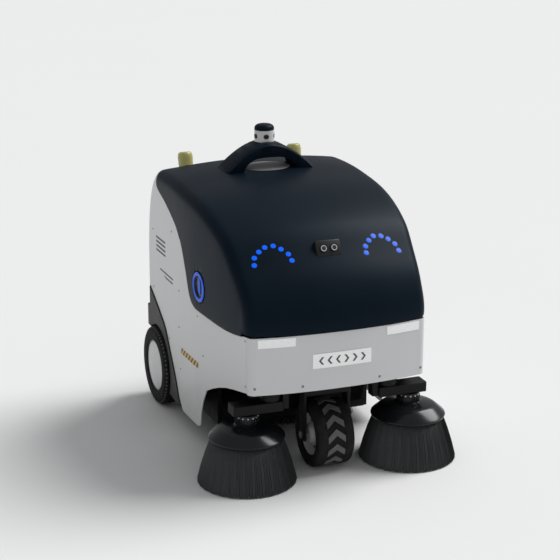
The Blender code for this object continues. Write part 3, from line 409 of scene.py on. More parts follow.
def make_finishes(colours):
    """Every finish by its name; the record's slots use the same names."""
    dark = (0.010, 0.010, 0.011)
    return {
        "white_panel": panel_paint("panel_paint", tuple(colours.panel)),
        "dark_hood": hood_gloss("hood_gloss", tuple(colours.hood)),
        "black_plastic": grained_plastic("black_plastic", dark),
        "gloss_plastic": grained_plastic("gloss_black", (0.006, 0.007, 0.009), 0.2, 40.0),
        "black_steel": powder_coat("black_powder_coat", (0.005, 0.005, 0.006)),
        "steel": bare_metal("drawn_steel", (0.60, 0.61, 0.62), (0.05, 1, 1)),
        "bolt": bare_metal("screw_steel", (0.30, 0.31, 0.32), (1, 1, 1), 0.42),
        "tyre": tyre_rubber("tyre_rubber"),
        "tread": worn_tread("worn_tread"),
        "grey_hub": grained_plastic("hub_grey", (0.72, 0.73, 0.73), 0.45, 500.0),
        "grey_rim": grained_plastic("rim_grey", (0.50, 0.505, 0.51), 0.45, 500.0),
        "bristle": filament("brush_filament", tuple(colours.bristle)),
        "reflector": honeycomb_reflector("honeycomb_reflector"),
        "blue_lamp": lit_lamp("blue_lamp", tuple(colours.lamp), 1.0),
        "ring_lamp": lit_lamp("ring_lamp", shade(tuple(colours.lamp), 0.62), 0.8),
        "amber": beacon_lens("beacon_lens", tuple(colours.beacon)),
        "lens": lens_glass("lens_glass"),
        "rubber": grained_plastic("belt_rubber", (0.014, 0.014, 0.014), 0.75),
        "battery": grained_plastic("battery_case", (0.045, 0.085, 0.15), 0.45),
        "cast": cast_metal("cast_alloy", (0.34, 0.35, 0.36)),
        "paper": pleated_paper("pleated_paper"),
        "red": grained_plastic("stop_red", (0.55, 0.015, 0.012), 0.3, 60.0),
        "yellow": grained_plastic("stop_yellow", (0.62, 0.40, 0.02), 0.35, 60.0),
        "hazard": hazard_tape("hazard_tape"),
        # painted light: pale grey for the sheet on the roof under the arch, standing in for light there and
        # not a real part
        "pad": grained_plastic("painted_light_pad_grey", (0.26, 0.265, 0.27), 0.5, 300.0),
        "print": grained_plastic("dark_print", (0.05, 0.05, 0.055), 0.5, 300.0),
        "arrow": grained_plastic("grey_print", (0.10, 0.10, 0.105), 0.5, 300.0),
    }


FINISHES = {}


# ---------------------------------------------------------------- mesh helpers

def publish(name, bm, finish, body, replaced=(), angle=35, bevel=0.0, levels=0, tidy=True):
    """A finished object riding a body, from a bmesh in the row frame."""
    if tidy:
        bmesh.ops.remove_doubles(bm, verts=bm.verts, dist=2e-6)
        bmesh.ops.recalc_face_normals(bm, faces=bm.faces)
    mesh = bpy.data.meshes.new(name)
    bm.to_mesh(mesh)
    bm.free()
    mesh.shade_smooth()
    if not levels:
        mesh.set_sharp_from_angle(angle=math.radians(angle))
    obj = bpy.data.objects.new(name, mesh)
    bpy.context.scene.collection.objects.link(obj)
    mesh.materials.append(FINISHES[finish])
    if bevel:
        modifier = obj.modifiers.new("soft_edges", "BEVEL")
        modifier.width = bevel
        modifier.segments = 2
        modifier.limit_method = "ANGLE"
        modifier.angle_limit = math.radians(38)
        modifier.harden_normals = False
    if levels:
        modifier = obj.modifiers.new("smooth_surface", "SUBSURF")
        modifier.levels = levels
        modifier.render_levels = levels
    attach(obj, body)
    if replaced:
        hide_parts(*replaced)
    return obj


def merged(node, quads=False):
    """A CAD node's mesh, merged, with its flat triangles joined."""
    bm = bmesh.new()
    bm.from_mesh(frame["nodes"][node].data)
    bmesh.ops.remove_doubles(bm, verts=bm.verts, dist=1e-5)
    if quads:
        bmesh.ops.join_triangles(bm, faces=bm.faces, angle_face_threshold=math.radians(40),
                                 angle_shape_threshold=math.radians(60))
    else:
        bmesh.ops.dissolve_limit(bm, angle_limit=math.radians(0.5), verts=bm.verts, edges=bm.edges)
    return bm


def box_middle(node):
    low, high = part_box(node)
    return (low + high) / 2, (high - low) / 2


def turned(profile, axis, centre, steps, bm=None, ring=False):
    """A profile (radius, along) spun about an axis through centre."""
    bm = bm or bmesh.new()
    ends = {"X": lambda r, a: (a, r, 0), "Y": lambda r, a: (r, a, 0), "Z": lambda r, a: (r, 0, a)}[axis]
    verts = [bm.verts.new(Vector(ends(r, a)) + Vector(centre)) for r, a in profile]
    edges = [bm.edges.new(pair) for pair in zip(verts, verts[1:])]
    if ring:
        edges.append(bm.edges.new((verts[-1], verts[0])))
    direction = {"X": (1, 0, 0), "Y": (0, 1, 0), "Z": (0, 0, 1)}[axis]
    bmesh.ops.spin(bm, geom=verts + edges, cent=centre, axis=direction, angle=math.tau, steps=steps,
                   use_merge=True)
    bmesh.ops.remove_doubles(bm, verts=bm.verts, dist=2e-6)
    return bm


def added(bm, other, matrix=None):
    """Puts another bmesh into bm, moved by a matrix."""
    if matrix is not None:
        bmesh.ops.transform(other, matrix=matrix, verts=other.verts)
    mesh = bpy.data.meshes.new("part")
    other.to_mesh(mesh)
    other.free()
    bm.from_mesh(mesh)
    bpy.data.meshes.remove(mesh)
    return bm


def facing(profile, side):
    """A profile with its places along the axis turned towards one side."""
    return [(radius, side * along) for radius, along in profile]


def repeated(bm, axis, centre, count):
    """Copies what a bmesh holds evenly round an axis."""
    direction = {"X": (1, 0, 0), "Y": (0, 1, 0), "Z": (0, 0, 1)}[axis]
    bmesh.ops.spin(bm, geom=bm.verts[:] + bm.edges[:] + bm.faces[:], cent=centre, axis=direction,
                   angle=math.tau * (count - 1) / count, steps=count - 1, use_duplicate=True)
    return bm


def slab(outline, depth, bm=None):
    """A flat outline in X and Z given a depth along -Y, standing on Y = 0."""
    bm = bm or bmesh.new()
    face = bm.faces.new([bm.verts.new((x, SINK, z)) for x, z in outline])
    made = bmesh.ops.extrude_face_region(bm, geom=[face])["geom"]
    top = [g for g in made if isinstance(g, bmesh.types.BMVert)]
    bmesh.ops.translate(bm, verts=top, vec=(0, -depth - SINK, 0))
    return bm


def block(x, y, z, bm=None):
    bm = bm or bmesh.new()
    size = Vector((x[1] - x[0], y[1] - y[0], z[1] - z[0]))
    centre = Vector((x[0] + x[1], y[0] + y[1], z[0] + z[1])) / 2
    bmesh.ops.create_cube(bm, size=1.0, matrix=Matrix.Translation(centre) @ Matrix.Diagonal((*size, 1.0)))
    return bm


def surface_of(obj):
    """A search tree of an object's finished surface."""
    graph = bpy.context.evaluated_depsgraph_get()
    return BVHTree.FromObject(obj, graph)


def standing(tree, start, direction, up=(0, 0, 1)):
    """Where a ray meets a surface: X across, -Y along the outward normal, Z up."""
    start, direction = Vector(start), Vector(direction).normalized()
    point, normal, _, _ = tree.ray_cast(start, direction)
    if point is None:
        raise RuntimeError("a fitting's ray misses the surface it stands on")
    if normal.dot(direction) > 0:
        normal = -normal
    out = -normal
    across = out.cross(Vector(up)).normalized()
    rise = across.cross(out)
    turn = Matrix((across, out, rise)).transposed().to_4x4()
    return Matrix.Translation(point) @ turn


def oval(rx, rz, count=24, x=0.0, z=0.0):
    return [(x + rx * math.cos(math.tau * n / count), z + rz * math.sin(math.tau * n / count))
            for n in range(count)]


# ---------------------------------------------------------------- operators

class SWEEPER_OT_plain_pieces(bpy.types.Operator):
    """Merge the frame's plain pieces, soften their edges and give them a finish"""
    bl_idname = "sweeper.plain_pieces"
    bl_label = "Plain pieces"

    def execute(self, context):
        for node, bevel in PLAIN_NODES.items():
            obj = publish(node + "_skin", merged(node), SLOT_OF[node], BODY_OF[node], [node], bevel=bevel,
                          tidy=False)
        return {"FINISHED"}


class SWEEPER_OT_shells(bpy.types.Operator):
    """Smooth the hood and the rear shell"""
    bl_idname = "sweeper.shells"
    bl_label = "Hood and rear shell"

    def execute(self, context):
        for node in ("hood_shell", "rear_shell"):
            obj = publish(node + "_skin", merged(node, quads=True), SLOT_OF[node], BODY_OF[node], [node],
                          levels=2, tidy=False)
        return {"FINISHED"}


class SWEEPER_OT_eye_lamps(bpy.types.Operator):
    """Two arcs of round lamps on the hood's face"""
    bl_idname = "sweeper.eye_lamps"
    bl_label = "Eye lamps"

    # (distance from the middle, height above the camera) of one arc's lamps
    ARC = ((0.347, -0.048), (0.338, -0.022), (0.311, -0.001), (0.280, 0.014), (0.241, 0.018),
           (0.211, 0.005), (0.185, -0.014), (0.178, -0.037))

    def execute(self, context):
        sizes = context.scene.sweeper_sizes
        tree = surface_of(bpy.data.objects["hood_shell_skin"])
        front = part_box("hood_shell")[0].y - 0.2
        camera = box_middle("camera_housing")[0]
        for tag, side in SIDES:
            lamps, cups = bmesh.new(), bmesh.new()
            for across, rise in self.ARC:
                place = standing(tree, (side * across, front, camera.z + rise), (0, 1, 0))
                r = sizes.eye_lamp
                dome = turned([(0, -0.0009), (r * 0.6, -0.0008), (r * 0.95, -0.0005), (r, SINK)], "Y",
                              (0, 0, 0), 20)
                added(lamps, dome, place)
                cup = turned([(r + 0.0004, SINK), (r + 0.0004, -0.0006), (r + 0.0014, -0.0006),
                              (r + 0.0018, SINK)], "Y", (0, 0, 0), 20, ring=True)
                added(cups, cup, place)
            publish("eye_lamps_" + tag, lamps, "blue_lamp", "hood")
            publish("eye_lamp_cups_" + tag, cups, "gloss_plastic", "hood")
        return {"FINISHED"}


class SWEEPER_OT_ring_lamps(bpy.types.Operator):
    """Round side lamps: a dark dish, a lit ring and a lit bar"""
    bl_idname = "sweeper.ring_lamps"
    bl_label = "Ring lamps"

    def execute(self, context):
        for tag, side in SIDES:
            node = "ring_light_" + tag
            tree = BVHTree.FromBMesh(merged(node))
            middle, _ = box_middle(node)
            place = standing(tree, (side, middle.y, middle.z), (-side, 0, 0))
            dish = turned([(0, 0.0085), (0.046, 0.0075), (0.052, 0.0010), (0.068, 0.0008), (0.0712, 0.0004),
                           (0.0722, 0.0080), (0.0722, 0.0125), (0, 0.0125)], "Y", (0, 0, 0), 48)
            obj = publish(node + "_dish", added(bmesh.new(), dish, place), "gloss_plastic", "hood", [node])
            ring = turned([(0.0530, 0.0014), (0.0535, -0.0006), (0.0560, -0.0018), (0.0655, -0.0018),
                           (0.0685, -0.0006), (0.0690, 0.0014)], "Y", (0, 0, 0), 48, ring=True)
            bar = slab(oval(0.0095, 0.038), 0.003)
            bmesh.ops.translate(bar, verts=bar.verts, vec=(0, 0.0075, 0))
            glow = added(bmesh.new(), ring, place)
            added(glow, bar, place)
            publish("ring_glow_" + tag, glow, "ring_lamp", "hood")
        return {"FINISHED"}


class SWEEPER_OT_camera(bpy.types.Operator):
    """The camera's two lenses with their rings"""
    bl_idname = "sweeper.camera"
    bl_label = "Camera lenses"

    def execute(self, context):
        for tag, _ in SIDES:
            node = "camera_lens_" + tag
            bm = merged(node)
            tree = BVHTree.FromBMesh(bm)
            bm.free()
            middle, _ = box_middle(node)
            place = standing(tree, (middle.x, middle.y - 0.2, middle.z), (0, 1, 0))
            glass = turned([(0, -0.0022), (0.005, -0.0019), (0.009, -0.0006), (0.0095, 0.0030),
                            (0, 0.0030)], "Y", (0, 0, 0), 32)
            obj = publish(node + "_glass", added(bmesh.new(), glass, place), "lens", "hood", [node])
            ring = turned([(0.0100, 0.0030), (0.0100, -0.0008), (0.0110, -0.0018), (0.0128, -0.0018),
                           (0.0138, -0.0008), (0.0138, 0.0030)], "Y", (0, 0, 0), 32, ring=True)
            publish(node + "_ring", added(bmesh.new(), ring, place), "grey_rim", "hood")
            outer = turned([(0.0142, 0.0030), (0.0142, -0.0002), (0.0168, -0.0002), (0.0170, 0.0030)], "Y",
                           (0, 0, 0), 32, ring=True)
            publish(node + "_seat", added(bmesh.new(), outer, place), "gloss_plastic", "hood")
        return {"FINISHED"}


class SWEEPER_OT_roof_arch(bpy.types.Operator):
    """The bridge that carries the roof sensor, and a pale sheet of painted light on the roof under it"""
    bl_idname = "sweeper.roof_arch"
    bl_label = "Roof arch"

    PAINTED_PAD_HALF = (0.118, 0.088)
    PAINTED_PAD_BACK = 0.070               # middle of the painted-light sheet behind the arch's front face
    PAINTED_PAD_STEPS = 40
    PAINTED_PAD_RINGS = ((1.0, -SINK), (1.0, 0.0012), (0.97, 0.0020), (0.6, 0.0020), (0.25, 0.0020))

    def pad(self):
        """An oval pale sheet laid on the roof as painted light, built inwards from its foot."""
        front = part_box("sensor_arch")[0].y
        tree = surface_of(bpy.data.objects["hood_shell_skin"])
        bm = bmesh.new()
        rings = []
        for radius, lift in self.PAINTED_PAD_RINGS:
            ring = []
            for n in range(self.PAINTED_PAD_STEPS):
                angle = math.tau * n / self.PAINTED_PAD_STEPS
                x = self.PAINTED_PAD_HALF[0] * radius * math.cos(angle)
                y = front + self.PAINTED_PAD_BACK + self.PAINTED_PAD_HALF[1] * radius * math.sin(angle)
                point = tree.ray_cast(Vector((x, y, 2)), Vector((0, 0, -1)))[0]
                ring.append(bm.verts.new(point + Vector((0, 0, lift))))
            rings.append(ring)
        for lower, upper in zip(rings, rings[1:]):
            for n in range(self.PAINTED_PAD_STEPS):
                after = (n + 1) % self.PAINTED_PAD_STEPS
                bm.faces.new((lower[n], lower[after], upper[after], upper[n]))
        bm.faces.new(rings[-1])
        # painted light: this pale sheet stands in for the bright patch of light under the arch
        publish("painted_light_roof_pad", bm, "pad", "hood")

    def execute(self, context):
        obj = publish("sensor_arch_skin", merged("sensor_arch"), "dark_hood", "hood", ["sensor_arch"],
                      angle=50, bevel=0.004, tidy=False)
        self.pad()
        return {"FINISHED"}


class SWEEPER_OT_roof_sensor(bpy.types.Operator):
    """The sensor's dome and the round windows in its band"""
    bl_idname = "sweeper.roof_sensor"
    bl_label = "Roof sensor"

    def execute(self, context):
        middle, half = box_middle("lidar_dome")
        low = middle.z - half.z
        rise = half.z * 2
        r = half.x
        profile = [(0, low), (r - 0.001, low), (r, low + 0.002), (r, low + 0.006)]
        for n in range(1, 11):
            angle = n / 10 * math.pi / 2
            profile.append((r * math.cos(angle) ** 0.55 if n < 10 else 0.0,
                            low + 0.006 + (rise - 0.006) * math.sin(angle)))
        dome = turned(profile, "Z", (0, middle.y, 0), 64)
        obj = publish("lidar_dome_skin", dome, "dark_hood", "hood", ["lidar_dome"])
        band, _ = box_middle("lidar_base")
        windows, rims = bmesh.new(), bmesh.new()
        for n in range(5):
            turn = Matrix.Rotation(math.radians(-8 + 72 * n), 4, "Z")
            place = Matrix.Translation((band.x, band.y, band.z)) @ turn
            window = turned([(0, 0), (0.010, 0.0002), (0.0115, 0.002), (0.0115, 0.006), (0, 0.006)], "Y",
                            (0, -r - 0.0006, 0), 24)
            added(windows, window, place)
            rim = turned([(0.0118, 0.0060), (0.0118, -0.0004), (0.0130, -0.0004), (0.0136, 0.0060)], "Y",
                         (0, -r, 0), 24, ring=True)
            added(rims, rim, place)
        publish("sensor_windows", windows, "black_plastic", "hood")
        publish("sensor_window_rims", rims, "black_plastic", "hood")
        return {"FINISHED"}


class SWEEPER_OT_beacons(bpy.types.Operator):
    """Rear beacons with a dark foot"""
    bl_idname = "sweeper.beacons"
    bl_label = "Beacons"

    def execute(self, context):
        for tag, _ in SIDES:
            node = "beacon_" + tag
            obj = publish(node + "_skin", merged(node), "amber", "chassis", [node], angle=50, bevel=0.002,
                          tidy=False)
            middle, _ = box_middle(node)
            foot = turned([(0.030, -0.004), (0.0375, -0.004), (0.0375, 0.003), (0.035, 0.006),
                           (0.030, 0.006)], "Z", (0, 0, 0), 32, ring=True)
            lean = Matrix.Rotation(math.radians(-16), 4, "X")
            tree = surface_of(bpy.data.objects["rear_shell_skin"])
            hit = tree.ray_cast(Vector((middle.x, middle.y - 0.008, 2)), Vector((0, 0, -1)))[0]
            publish(node + "_foot", added(bmesh.new(), foot, Matrix.Translation(hit) @ lean),
                    "black_plastic", "chassis")
        return {"FINISHED"}


class SWEEPER_OT_screws(bpy.types.Operator):
    """Countersunk screws along the panels"""
    bl_idname = "sweeper.screws"
    bl_label = "Panel screws"

    # (station, height) behind the front edge of the side panels
    SIDE_PLACES = ((0.012, 0.680), (0.012, 0.470), (0.472, 0.468), (0.540, 0.641), (0.796, 0.694),
                   (1.023, 0.704), (0.806, 0.508), (0.967, 0.401), (1.217, 0.600), (0.792, 0.300),
                   (0.900, 0.960), (1.210, 0.900))
    FRONT_PLACES = ((0.400, 0.470), (0.185, 0.464))

    def head(self, radius):
        bm = turned([(0, -0.0010), (radius * 0.34, -0.0010), (radius * 0.36, -0.0018),
                     (radius * 0.80, -0.0016), (radius, -0.0002), (radius, SINK)], "Y", (0, 0, 0), 16)
        return bm

    def execute(self, context):
        r = context.scene.sweeper_sizes.screw
        front_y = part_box("side_panel_left")[0].y
        heads = bmesh.new()
        for tag, side in SIDES:
            tree = surface_of(bpy.data.objects[f"side_panel_{tag}_skin"])
            for v, z in self.SIDE_PLACES:
                place = standing(tree, (side, front_y + v, z), (-side, 0, 0))
                added(heads, self.head(r * 0.72), place)
        tree = surface_of(bpy.data.objects["front_panel_skin"])
        for x, z in self.FRONT_PLACES:
            for side in (-1, 1):
                place = standing(tree, (side * x, -2, z), (0, 1, 0))
                added(heads, self.head(r), place)
        tree = surface_of(bpy.data.objects["rear_shell_skin"])
        for x in (-0.36, -0.12, 0.12, 0.36):
            for z in (0.51, 1.10):
                place = standing(tree, (x, 2, z), (0, -1, 0))
                added(heads, self.head(r), place)
        publish("panel_screws", heads, "bolt", "chassis")
        return {"FINISHED"}


class SWEEPER_OT_front_plate(bpy.types.Operator):
    """Chevrons pointing outwards on the front plate"""
    bl_idname = "sweeper.front_plate"
    bl_label = "Front plate"

    def execute(self, context):
        tree = surface_of(bpy.data.objects["chevron_plate_skin"])
        middle, half = box_middle("chevron_plate")
        chevrons = bmesh.new()
        rise, arm, width = half.z * 0.52, 0.014, 0.010
        for n in range(3):
            for side in (-1, 1):
                x = side * (0.022 + 0.040 * n)
                place = standing(tree, (x, middle.y - 0.5, middle.z), (0, 1, 0))
                outline = [(0, rise), (width, rise), (width + arm, 0), (width, -rise), (0, -rise), (arm, 0)]
                outline = [(side * (a - arm), b) for a, b in outline]
                added(chevrons, slab(outline, 0.0008), place)
        publish("front_chevrons", chevrons, "arrow", "chassis")
        return {"FINISHED"}


class SWEEPER_OT_side_graphics(bpy.types.Operator):
    """Plain bars and a striped strip on the side panels"""
    bl_idname = "sweeper.side_graphics"
    bl_label = "Side graphics"

    def patch(self, bm, tree, side, v, z, length, height, tilt, front_y):
        """A thin rectangle that follows the panel, in short steps along it."""
        steps = 6
        previous = None
        for n in range(steps + 1):
            along = (n / steps - 0.5) * length
            centre_v = v + along * math.cos(tilt)
            centre_z = z + along * math.sin(tilt)
            place = standing(tree, (side, front_y + centre_v, centre_z), (-side, 0, 0))
            row = [bm.verts.new(place @ Vector((0, depth, lift)))
                   for depth, lift in ((SINK, -height / 2), (-0.0006, -height / 2), (-0.0006, height / 2),
                                       (SINK, height / 2))]
            if previous is None:
                bm.faces.new(row)
            else:
                for k in range(4):
                    bm.faces.new((previous[k], previous[(k + 1) % 4], row[(k + 1) % 4], row[k]))
            previous = row
        bm.faces.new(previous)

    def execute(self, context):
        front_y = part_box("side_panel_left")[0].y
        for tag, side in SIDES:
            tree = surface_of(bpy.data.objects[f"side_panel_{tag}_skin"])
            strip, bars = bmesh.new(), bmesh.new()
            self.patch(strip, tree, side, 0.655, 0.400, 0.240, 0.030, 0.0, front_y)
            for n in range(4):
                self.patch(bars, tree, side, 1.083, 0.875 - 0.022 * n, 0.150, 0.009, 0.0, front_y)
            self.patch(bars, tree, side, 0.995, 0.722, 0.210, 0.007, 0.0, front_y)
            self.patch(bars, tree, side, 0.955, 0.700, 0.120, 0.007, 0.0, front_y)
            publish("hazard_strip_" + tag, strip, "hazard", "chassis")
            publish("side_bars_" + tag, bars, "print", "chassis")
        return {"FINISHED"}


class SWEEPER_OT_front_tyre(bpy.types.Operator):
    """The front tyre, with a band of chevron blocks"""
    bl_idname = "sweeper.front_tyre"
    bl_label = "Front tyre"

    def execute(self, context):
        depth = context.scene.sweeper_sizes.tread
        middle, half = box_middle("front_tyre")
        r, w = half.z, half.x
        bore = box_middle("front_rim")[1].z + 0.0003
        base = r - depth
        right = [(bore, w - 0.010), (bore + 0.010, w - 0.002), (bore + 0.022, w - 0.0005), (r - 0.018, w),
                 (r - 0.008, w - 0.004), (r - 0.003, w - 0.012), (r - 0.002, w / 2 + 0.004),
                 (r - 0.003, w / 2), (base, w / 2 - 0.003)]
        profile = right + facing(reversed(right), -1)
        body = turned(profile, "X", middle, 72, ring=True)
        obj = publish("front_tyre_skin", body, "tyre", "front_wheel", ["front_tyre"], angle=40)
        blocks = bmesh.new()
        count, half_band = 14, w / 2 - 0.004
        pitch = math.tau / count
        thick, lead = pitch * 0.44, pitch * 0.50
        outline = [(-half_band, 0), (-half_band / 2, lead / 2), (0, lead), (half_band / 2, lead / 2),
                   (half_band, 0), (half_band, thick), (half_band / 2, lead / 2 + thick), (0, lead + thick),
                   (-half_band / 2, lead / 2 + thick), (-half_band, thick)]
        quads = [(0, 1, 8, 9), (1, 2, 7, 8), (2, 3, 6, 7), (3, 4, 5, 6)]
        root = base * 0.985
        verts = [blocks.verts.new(middle + Vector((x, -root * math.cos(a), root * math.sin(a))))
                 for x, a in outline]
        faces = [blocks.faces.new([verts[k] for k in quad]) for quad in quads]
        made = bmesh.ops.extrude_face_region(blocks, geom=faces)["geom"]
        top = [g for g in made if isinstance(g, bmesh.types.BMVert)]
        scale = (r - 0.0005) / root
        for vert in top:
            off = vert.co - middle
            vert.co = middle + Vector((off.x, off.y * scale, off.z * scale))
        repeated(blocks, "X", middle, count)
        publish("front_tread_blocks", blocks, "tread", "front_wheel")
        return {"FINISHED"}


class SWEEPER_OT_rear_wheels(bpy.types.Operator):
    """Rear tyres with ribs and side lugs, and the domed hub caps"""
    bl_idname = "sweeper.rear_wheels"
    bl_label = "Rear wheels"

    def execute(self, context):
        depth = context.scene.sweeper_sizes.tread
        for tag, side in SIDES:
            body = "rear_wheel_" + tag
            middle, half = box_middle("rear_tyre_" + tag)
            r, w = half.z, half.x
            bore = box_middle("rear_rim_" + tag)[1].z + 0.0003
            edge = [(bore, w - 0.006), (bore + 0.008, w - 0.002), (bore + 0.014, w - 0.0005),
                    (bore + 0.018, w - 0.0025), (r - 0.034, w - 0.0005), (r - 0.018, w - 0.001),
                    (r - 0.008, w - 0.007), (r - 0.002, w - 0.018), (r, w - 0.026)]
            groove = 0.007
            for place in (0.55, 0.05):
                x = w * place
                edge += [(r, x + groove / 2), (r - depth, x + groove / 2 - 0.001),
                         (r - depth, x - groove / 2 + 0.001), (r, x - groove / 2)]
            edge = [(radius, along) for radius, along in edge if along > 0]
            profile = edge + facing(reversed(edge), -1)
            obj = publish("rear_tyre_" + tag + "_skin", turned(profile, "X", middle, 80, ring=True), "tyre",
                          body, ["rear_tyre_" + tag], angle=40)
            lugs = bmesh.new()
            for end in (-1, 1):
                lug = [(end * (w - 0.0215), 0.0), (end * (w - 0.0065), 0.0), (end * (w - 0.0065), 0.05),
                       (end * (w - 0.0215), 0.05)]
                low, high = r - 0.016, r - 0.0025
                verts = [lugs.verts.new(middle + Vector((x, low * math.cos(a), low * math.sin(a))))
                         for x, a in lug]
                face = lugs.faces.new(verts)
                made = bmesh.ops.extrude_face_region(lugs, geom=[face])["geom"]
                for vert in (g for g in made if isinstance(g, bmesh.types.BMVert)):
                    off = vert.co - middle
                    outer = abs(off.x) > w - 0.010
                    scale = (high - (0.004 if outer else 0.0)) / low
                    vert.co = middle + Vector((off.x, off.y * scale, off.z * scale))
            repeated(lugs, "X", middle, 56)
            publish("rear_tread_lugs_" + tag, lugs, "tread", body)
            self.cap(tag, side, body)
        return {"FINISHED"}

    def cap(self, tag, side, body):
        node = "hub_cap_" + tag
        middle, half = box_middle(node)
        r, depth = half.z, half.x * 2
        base = middle.x - side * half.x
        profile = [(0, depth), (r * 0.20, depth * 0.99), (r * 0.42, depth * 0.93), (r * 0.64, depth * 0.80),
                   (r * 0.82, depth * 0.60), (r * 0.88, depth * 0.50), (r * 0.90, depth * 0.42),
                   (r * 0.93, depth * 0.42), (r * 0.965, depth * 0.40), (r, depth * 0.18), (r, 0.0), (0, 0)]
        bm = turned(facing(profile, side), "X", (base, middle.y, middle.z), 64)
        obj = publish(node + "_skin", bm, "grey_hub", body, [node], angle=40)


class SWEEPER_OT_front_hub(bpy.types.Operator):
    """Bolts round the front wheel's hub and nuts on its axle"""
    bl_idname = "sweeper.front_hub"
    bl_label = "Front hub"

    def execute(self, context):
        middle, half = box_middle("front_rim")
        bolts = bmesh.new()
        for side in (-1, 1):
            face = middle.x + side * (half.x - 0.020)
            profile = [(0, 0.006), (0.005, 0.006), (0.007, 0.004), (0.007, -0.001), (0, -0.001)]
            turned(facing(profile, side), "X", (face, middle.y, middle.z + 0.064), 6, bolts)
        repeated(bolts, "X", middle, 5)
        publish("front_hub_bolts", bolts, "bolt", "front_wheel", angle=20)
        nuts = bmesh.new()
        middle, half = box_middle("front_axle")
        for side in (-1, 1):
            face = middle.x + side * (half.x - 0.0055)
            profile = [(0, 0), (0.020, 0), (0.021, 0.001), (0.021, 0.004), (0.018, 0.0052), (0, 0.0052)]
            turned(facing(profile, side), "X", (face, middle.y, middle.z), 6, nuts)
        publish("fork_nuts", nuts, "bolt", "steering", angle=20)
        return {"FINISHED"}


class SWEEPER_OT_side_brushes(bpy.types.Operator):
    """Side brushes: gloss disc, knurled coupling and a skirt of filaments"""
    bl_idname = "sweeper.side_brushes"
    bl_label = "Side brushes"

    SECTORS = 30
    PER_SECTOR = 46

    def strand(self, bm, root, tip, bow, radius):
        """One three-sided filament, bowed outwards, from its root to its tip."""
        made = bmesh.ops.create_circle(bm, cap_ends=True, radius=radius, segments=3)
        verts = made["verts"]
        face = verts[0].link_faces[0]
        bmesh.ops.translate(bm, verts=verts, vec=root)
        levels = 3
        before = root
        for n in range(1, levels + 1):
            f = n / levels
            point = root.lerp(tip, f) + bow * math.sin(f * math.pi) * 0.5
            made = bmesh.ops.extrude_face_region(bm, geom=[face])["geom"]
            if n > 1:
                bmesh.ops.delete(bm, geom=[face], context="FACES_ONLY")
            face = [g for g in made if isinstance(g, bmesh.types.BMFace)][0]
            verts = [g for g in made if isinstance(g, bmesh.types.BMVert)]
            bmesh.ops.translate(bm, verts=verts, vec=point - before)
            before = point

    def skirt(self, node, tag, body):
        """A dense ring of filaments over a slimmer solid core."""
        draw = random.Random(7)
        radius = bpy.context.scene.sweeper_sizes.strand
        middle, half = box_middle(node)
        low, high = middle.z - half.z, middle.z + half.z
        tip_r = half.x
        root_r = box_middle("brush_disc_" + tag)[1].x - 0.012
        sector = math.tau / self.SECTORS
        bm = bmesh.new()
        for n in range(self.PER_SECTOR):
            angle = sector * (n + draw.uniform(-0.4, 0.4)) / self.PER_SECTOR
            depth = draw.random() ** 2 * 0.030
            spread = angle + draw.uniform(-0.02, 0.02)
            out = Vector((math.cos(angle), math.sin(angle), 0))
            out_tip = Vector((math.cos(spread), math.sin(spread), 0))
            root = middle + out * (root_r - depth * 0.6)
            root.z = high - 0.0005
            tip = middle + out_tip * (tip_r - 0.0022 - depth - draw.random() * 0.003)
            tip.z = low + 0.0006 + draw.random() ** 2 * 0.010
            self.strand(bm, root, tip, out * 0.010, radius)
        repeated(bm, "Z", middle, self.SECTORS)
        publish("brush_filaments_" + tag, bm, "bristle", body, [node], angle=80, tidy=False)
        core = turned([(root_r - 0.020, high - 0.001), (root_r - 0.004, high - 0.001),
                       (root_r + 0.004, high - 0.050), (tip_r - 0.016, low + 0.012),
                       (tip_r - 0.040, low + 0.012)], "Z", (middle.x, middle.y, 0), 60, ring=True)
        publish("brush_core_" + tag, core, "bristle", body)

    def coupling(self, tag, body):
        middle, half = box_middle("brush_disc_" + tag)
        top = middle.z + half.z
        ribs = bmesh.new()
        block((middle.x + 0.0485, middle.x + 0.0550), (middle.y - 0.0022, middle.y + 0.0022),
              (top - 0.036, top - 0.016), ribs)
        bmesh.ops.bevel(ribs, geom=ribs.edges[:], offset=0.0006, affect="EDGES", segments=1, profile=0.5,
                        material=-1)
        repeated(ribs, "Z", middle, 28)
        publish("coupling_ribs_" + tag, ribs, "gloss_plastic", body)
        studs = bmesh.new()
        turned([(0, 0.0045), (0.003, 0.0045), (0.0045, 0.002), (0.0045, -0.002), (0, -0.002)], "X",
               (middle.x + 0.0488, middle.y, top - 0.0095), 8, studs)
        repeated(studs, "Z", middle, 14)
        publish("coupling_studs_" + tag, studs, "steel", body)

    def execute(self, context):
        for tag, _ in SIDES:
            body = "side_brush_" + tag
            node = "brush_disc_" + tag
            middle, half = box_middle(node)
            r, low, high = half.x, middle.z - half.z, middle.z + half.z
            profile = [(0, low), (r - 0.010, low), (r - 0.002, low + 0.003), (r, low + 0.007),
                       (r - 0.001, low + 0.012), (r - 0.006, low + 0.0175), (0.148, low + 0.034),
                       (0.132, low + 0.0475), (0.124, low + 0.0525), (0.112, low + 0.0570),
                       (0.090, low + 0.0615), (0.070, low + 0.0650), (0.060, low + 0.0670),
                       (0.0550, low + 0.0700), (0.0550, low + 0.0720), (0.0490, low + 0.0730),
                       (0.0490, high - 0.002), (0.0475, high), (0, high)]
            bm = turned(profile, "Z", (middle.x, middle.y, 0), 72)
            obj = publish(node + "_skin", bm, "gloss_plastic", body, [node], angle=30)
            self.skirt("brush_bristles_" + tag, tag, body)
            self.coupling(tag, body)
        return {"FINISHED"}


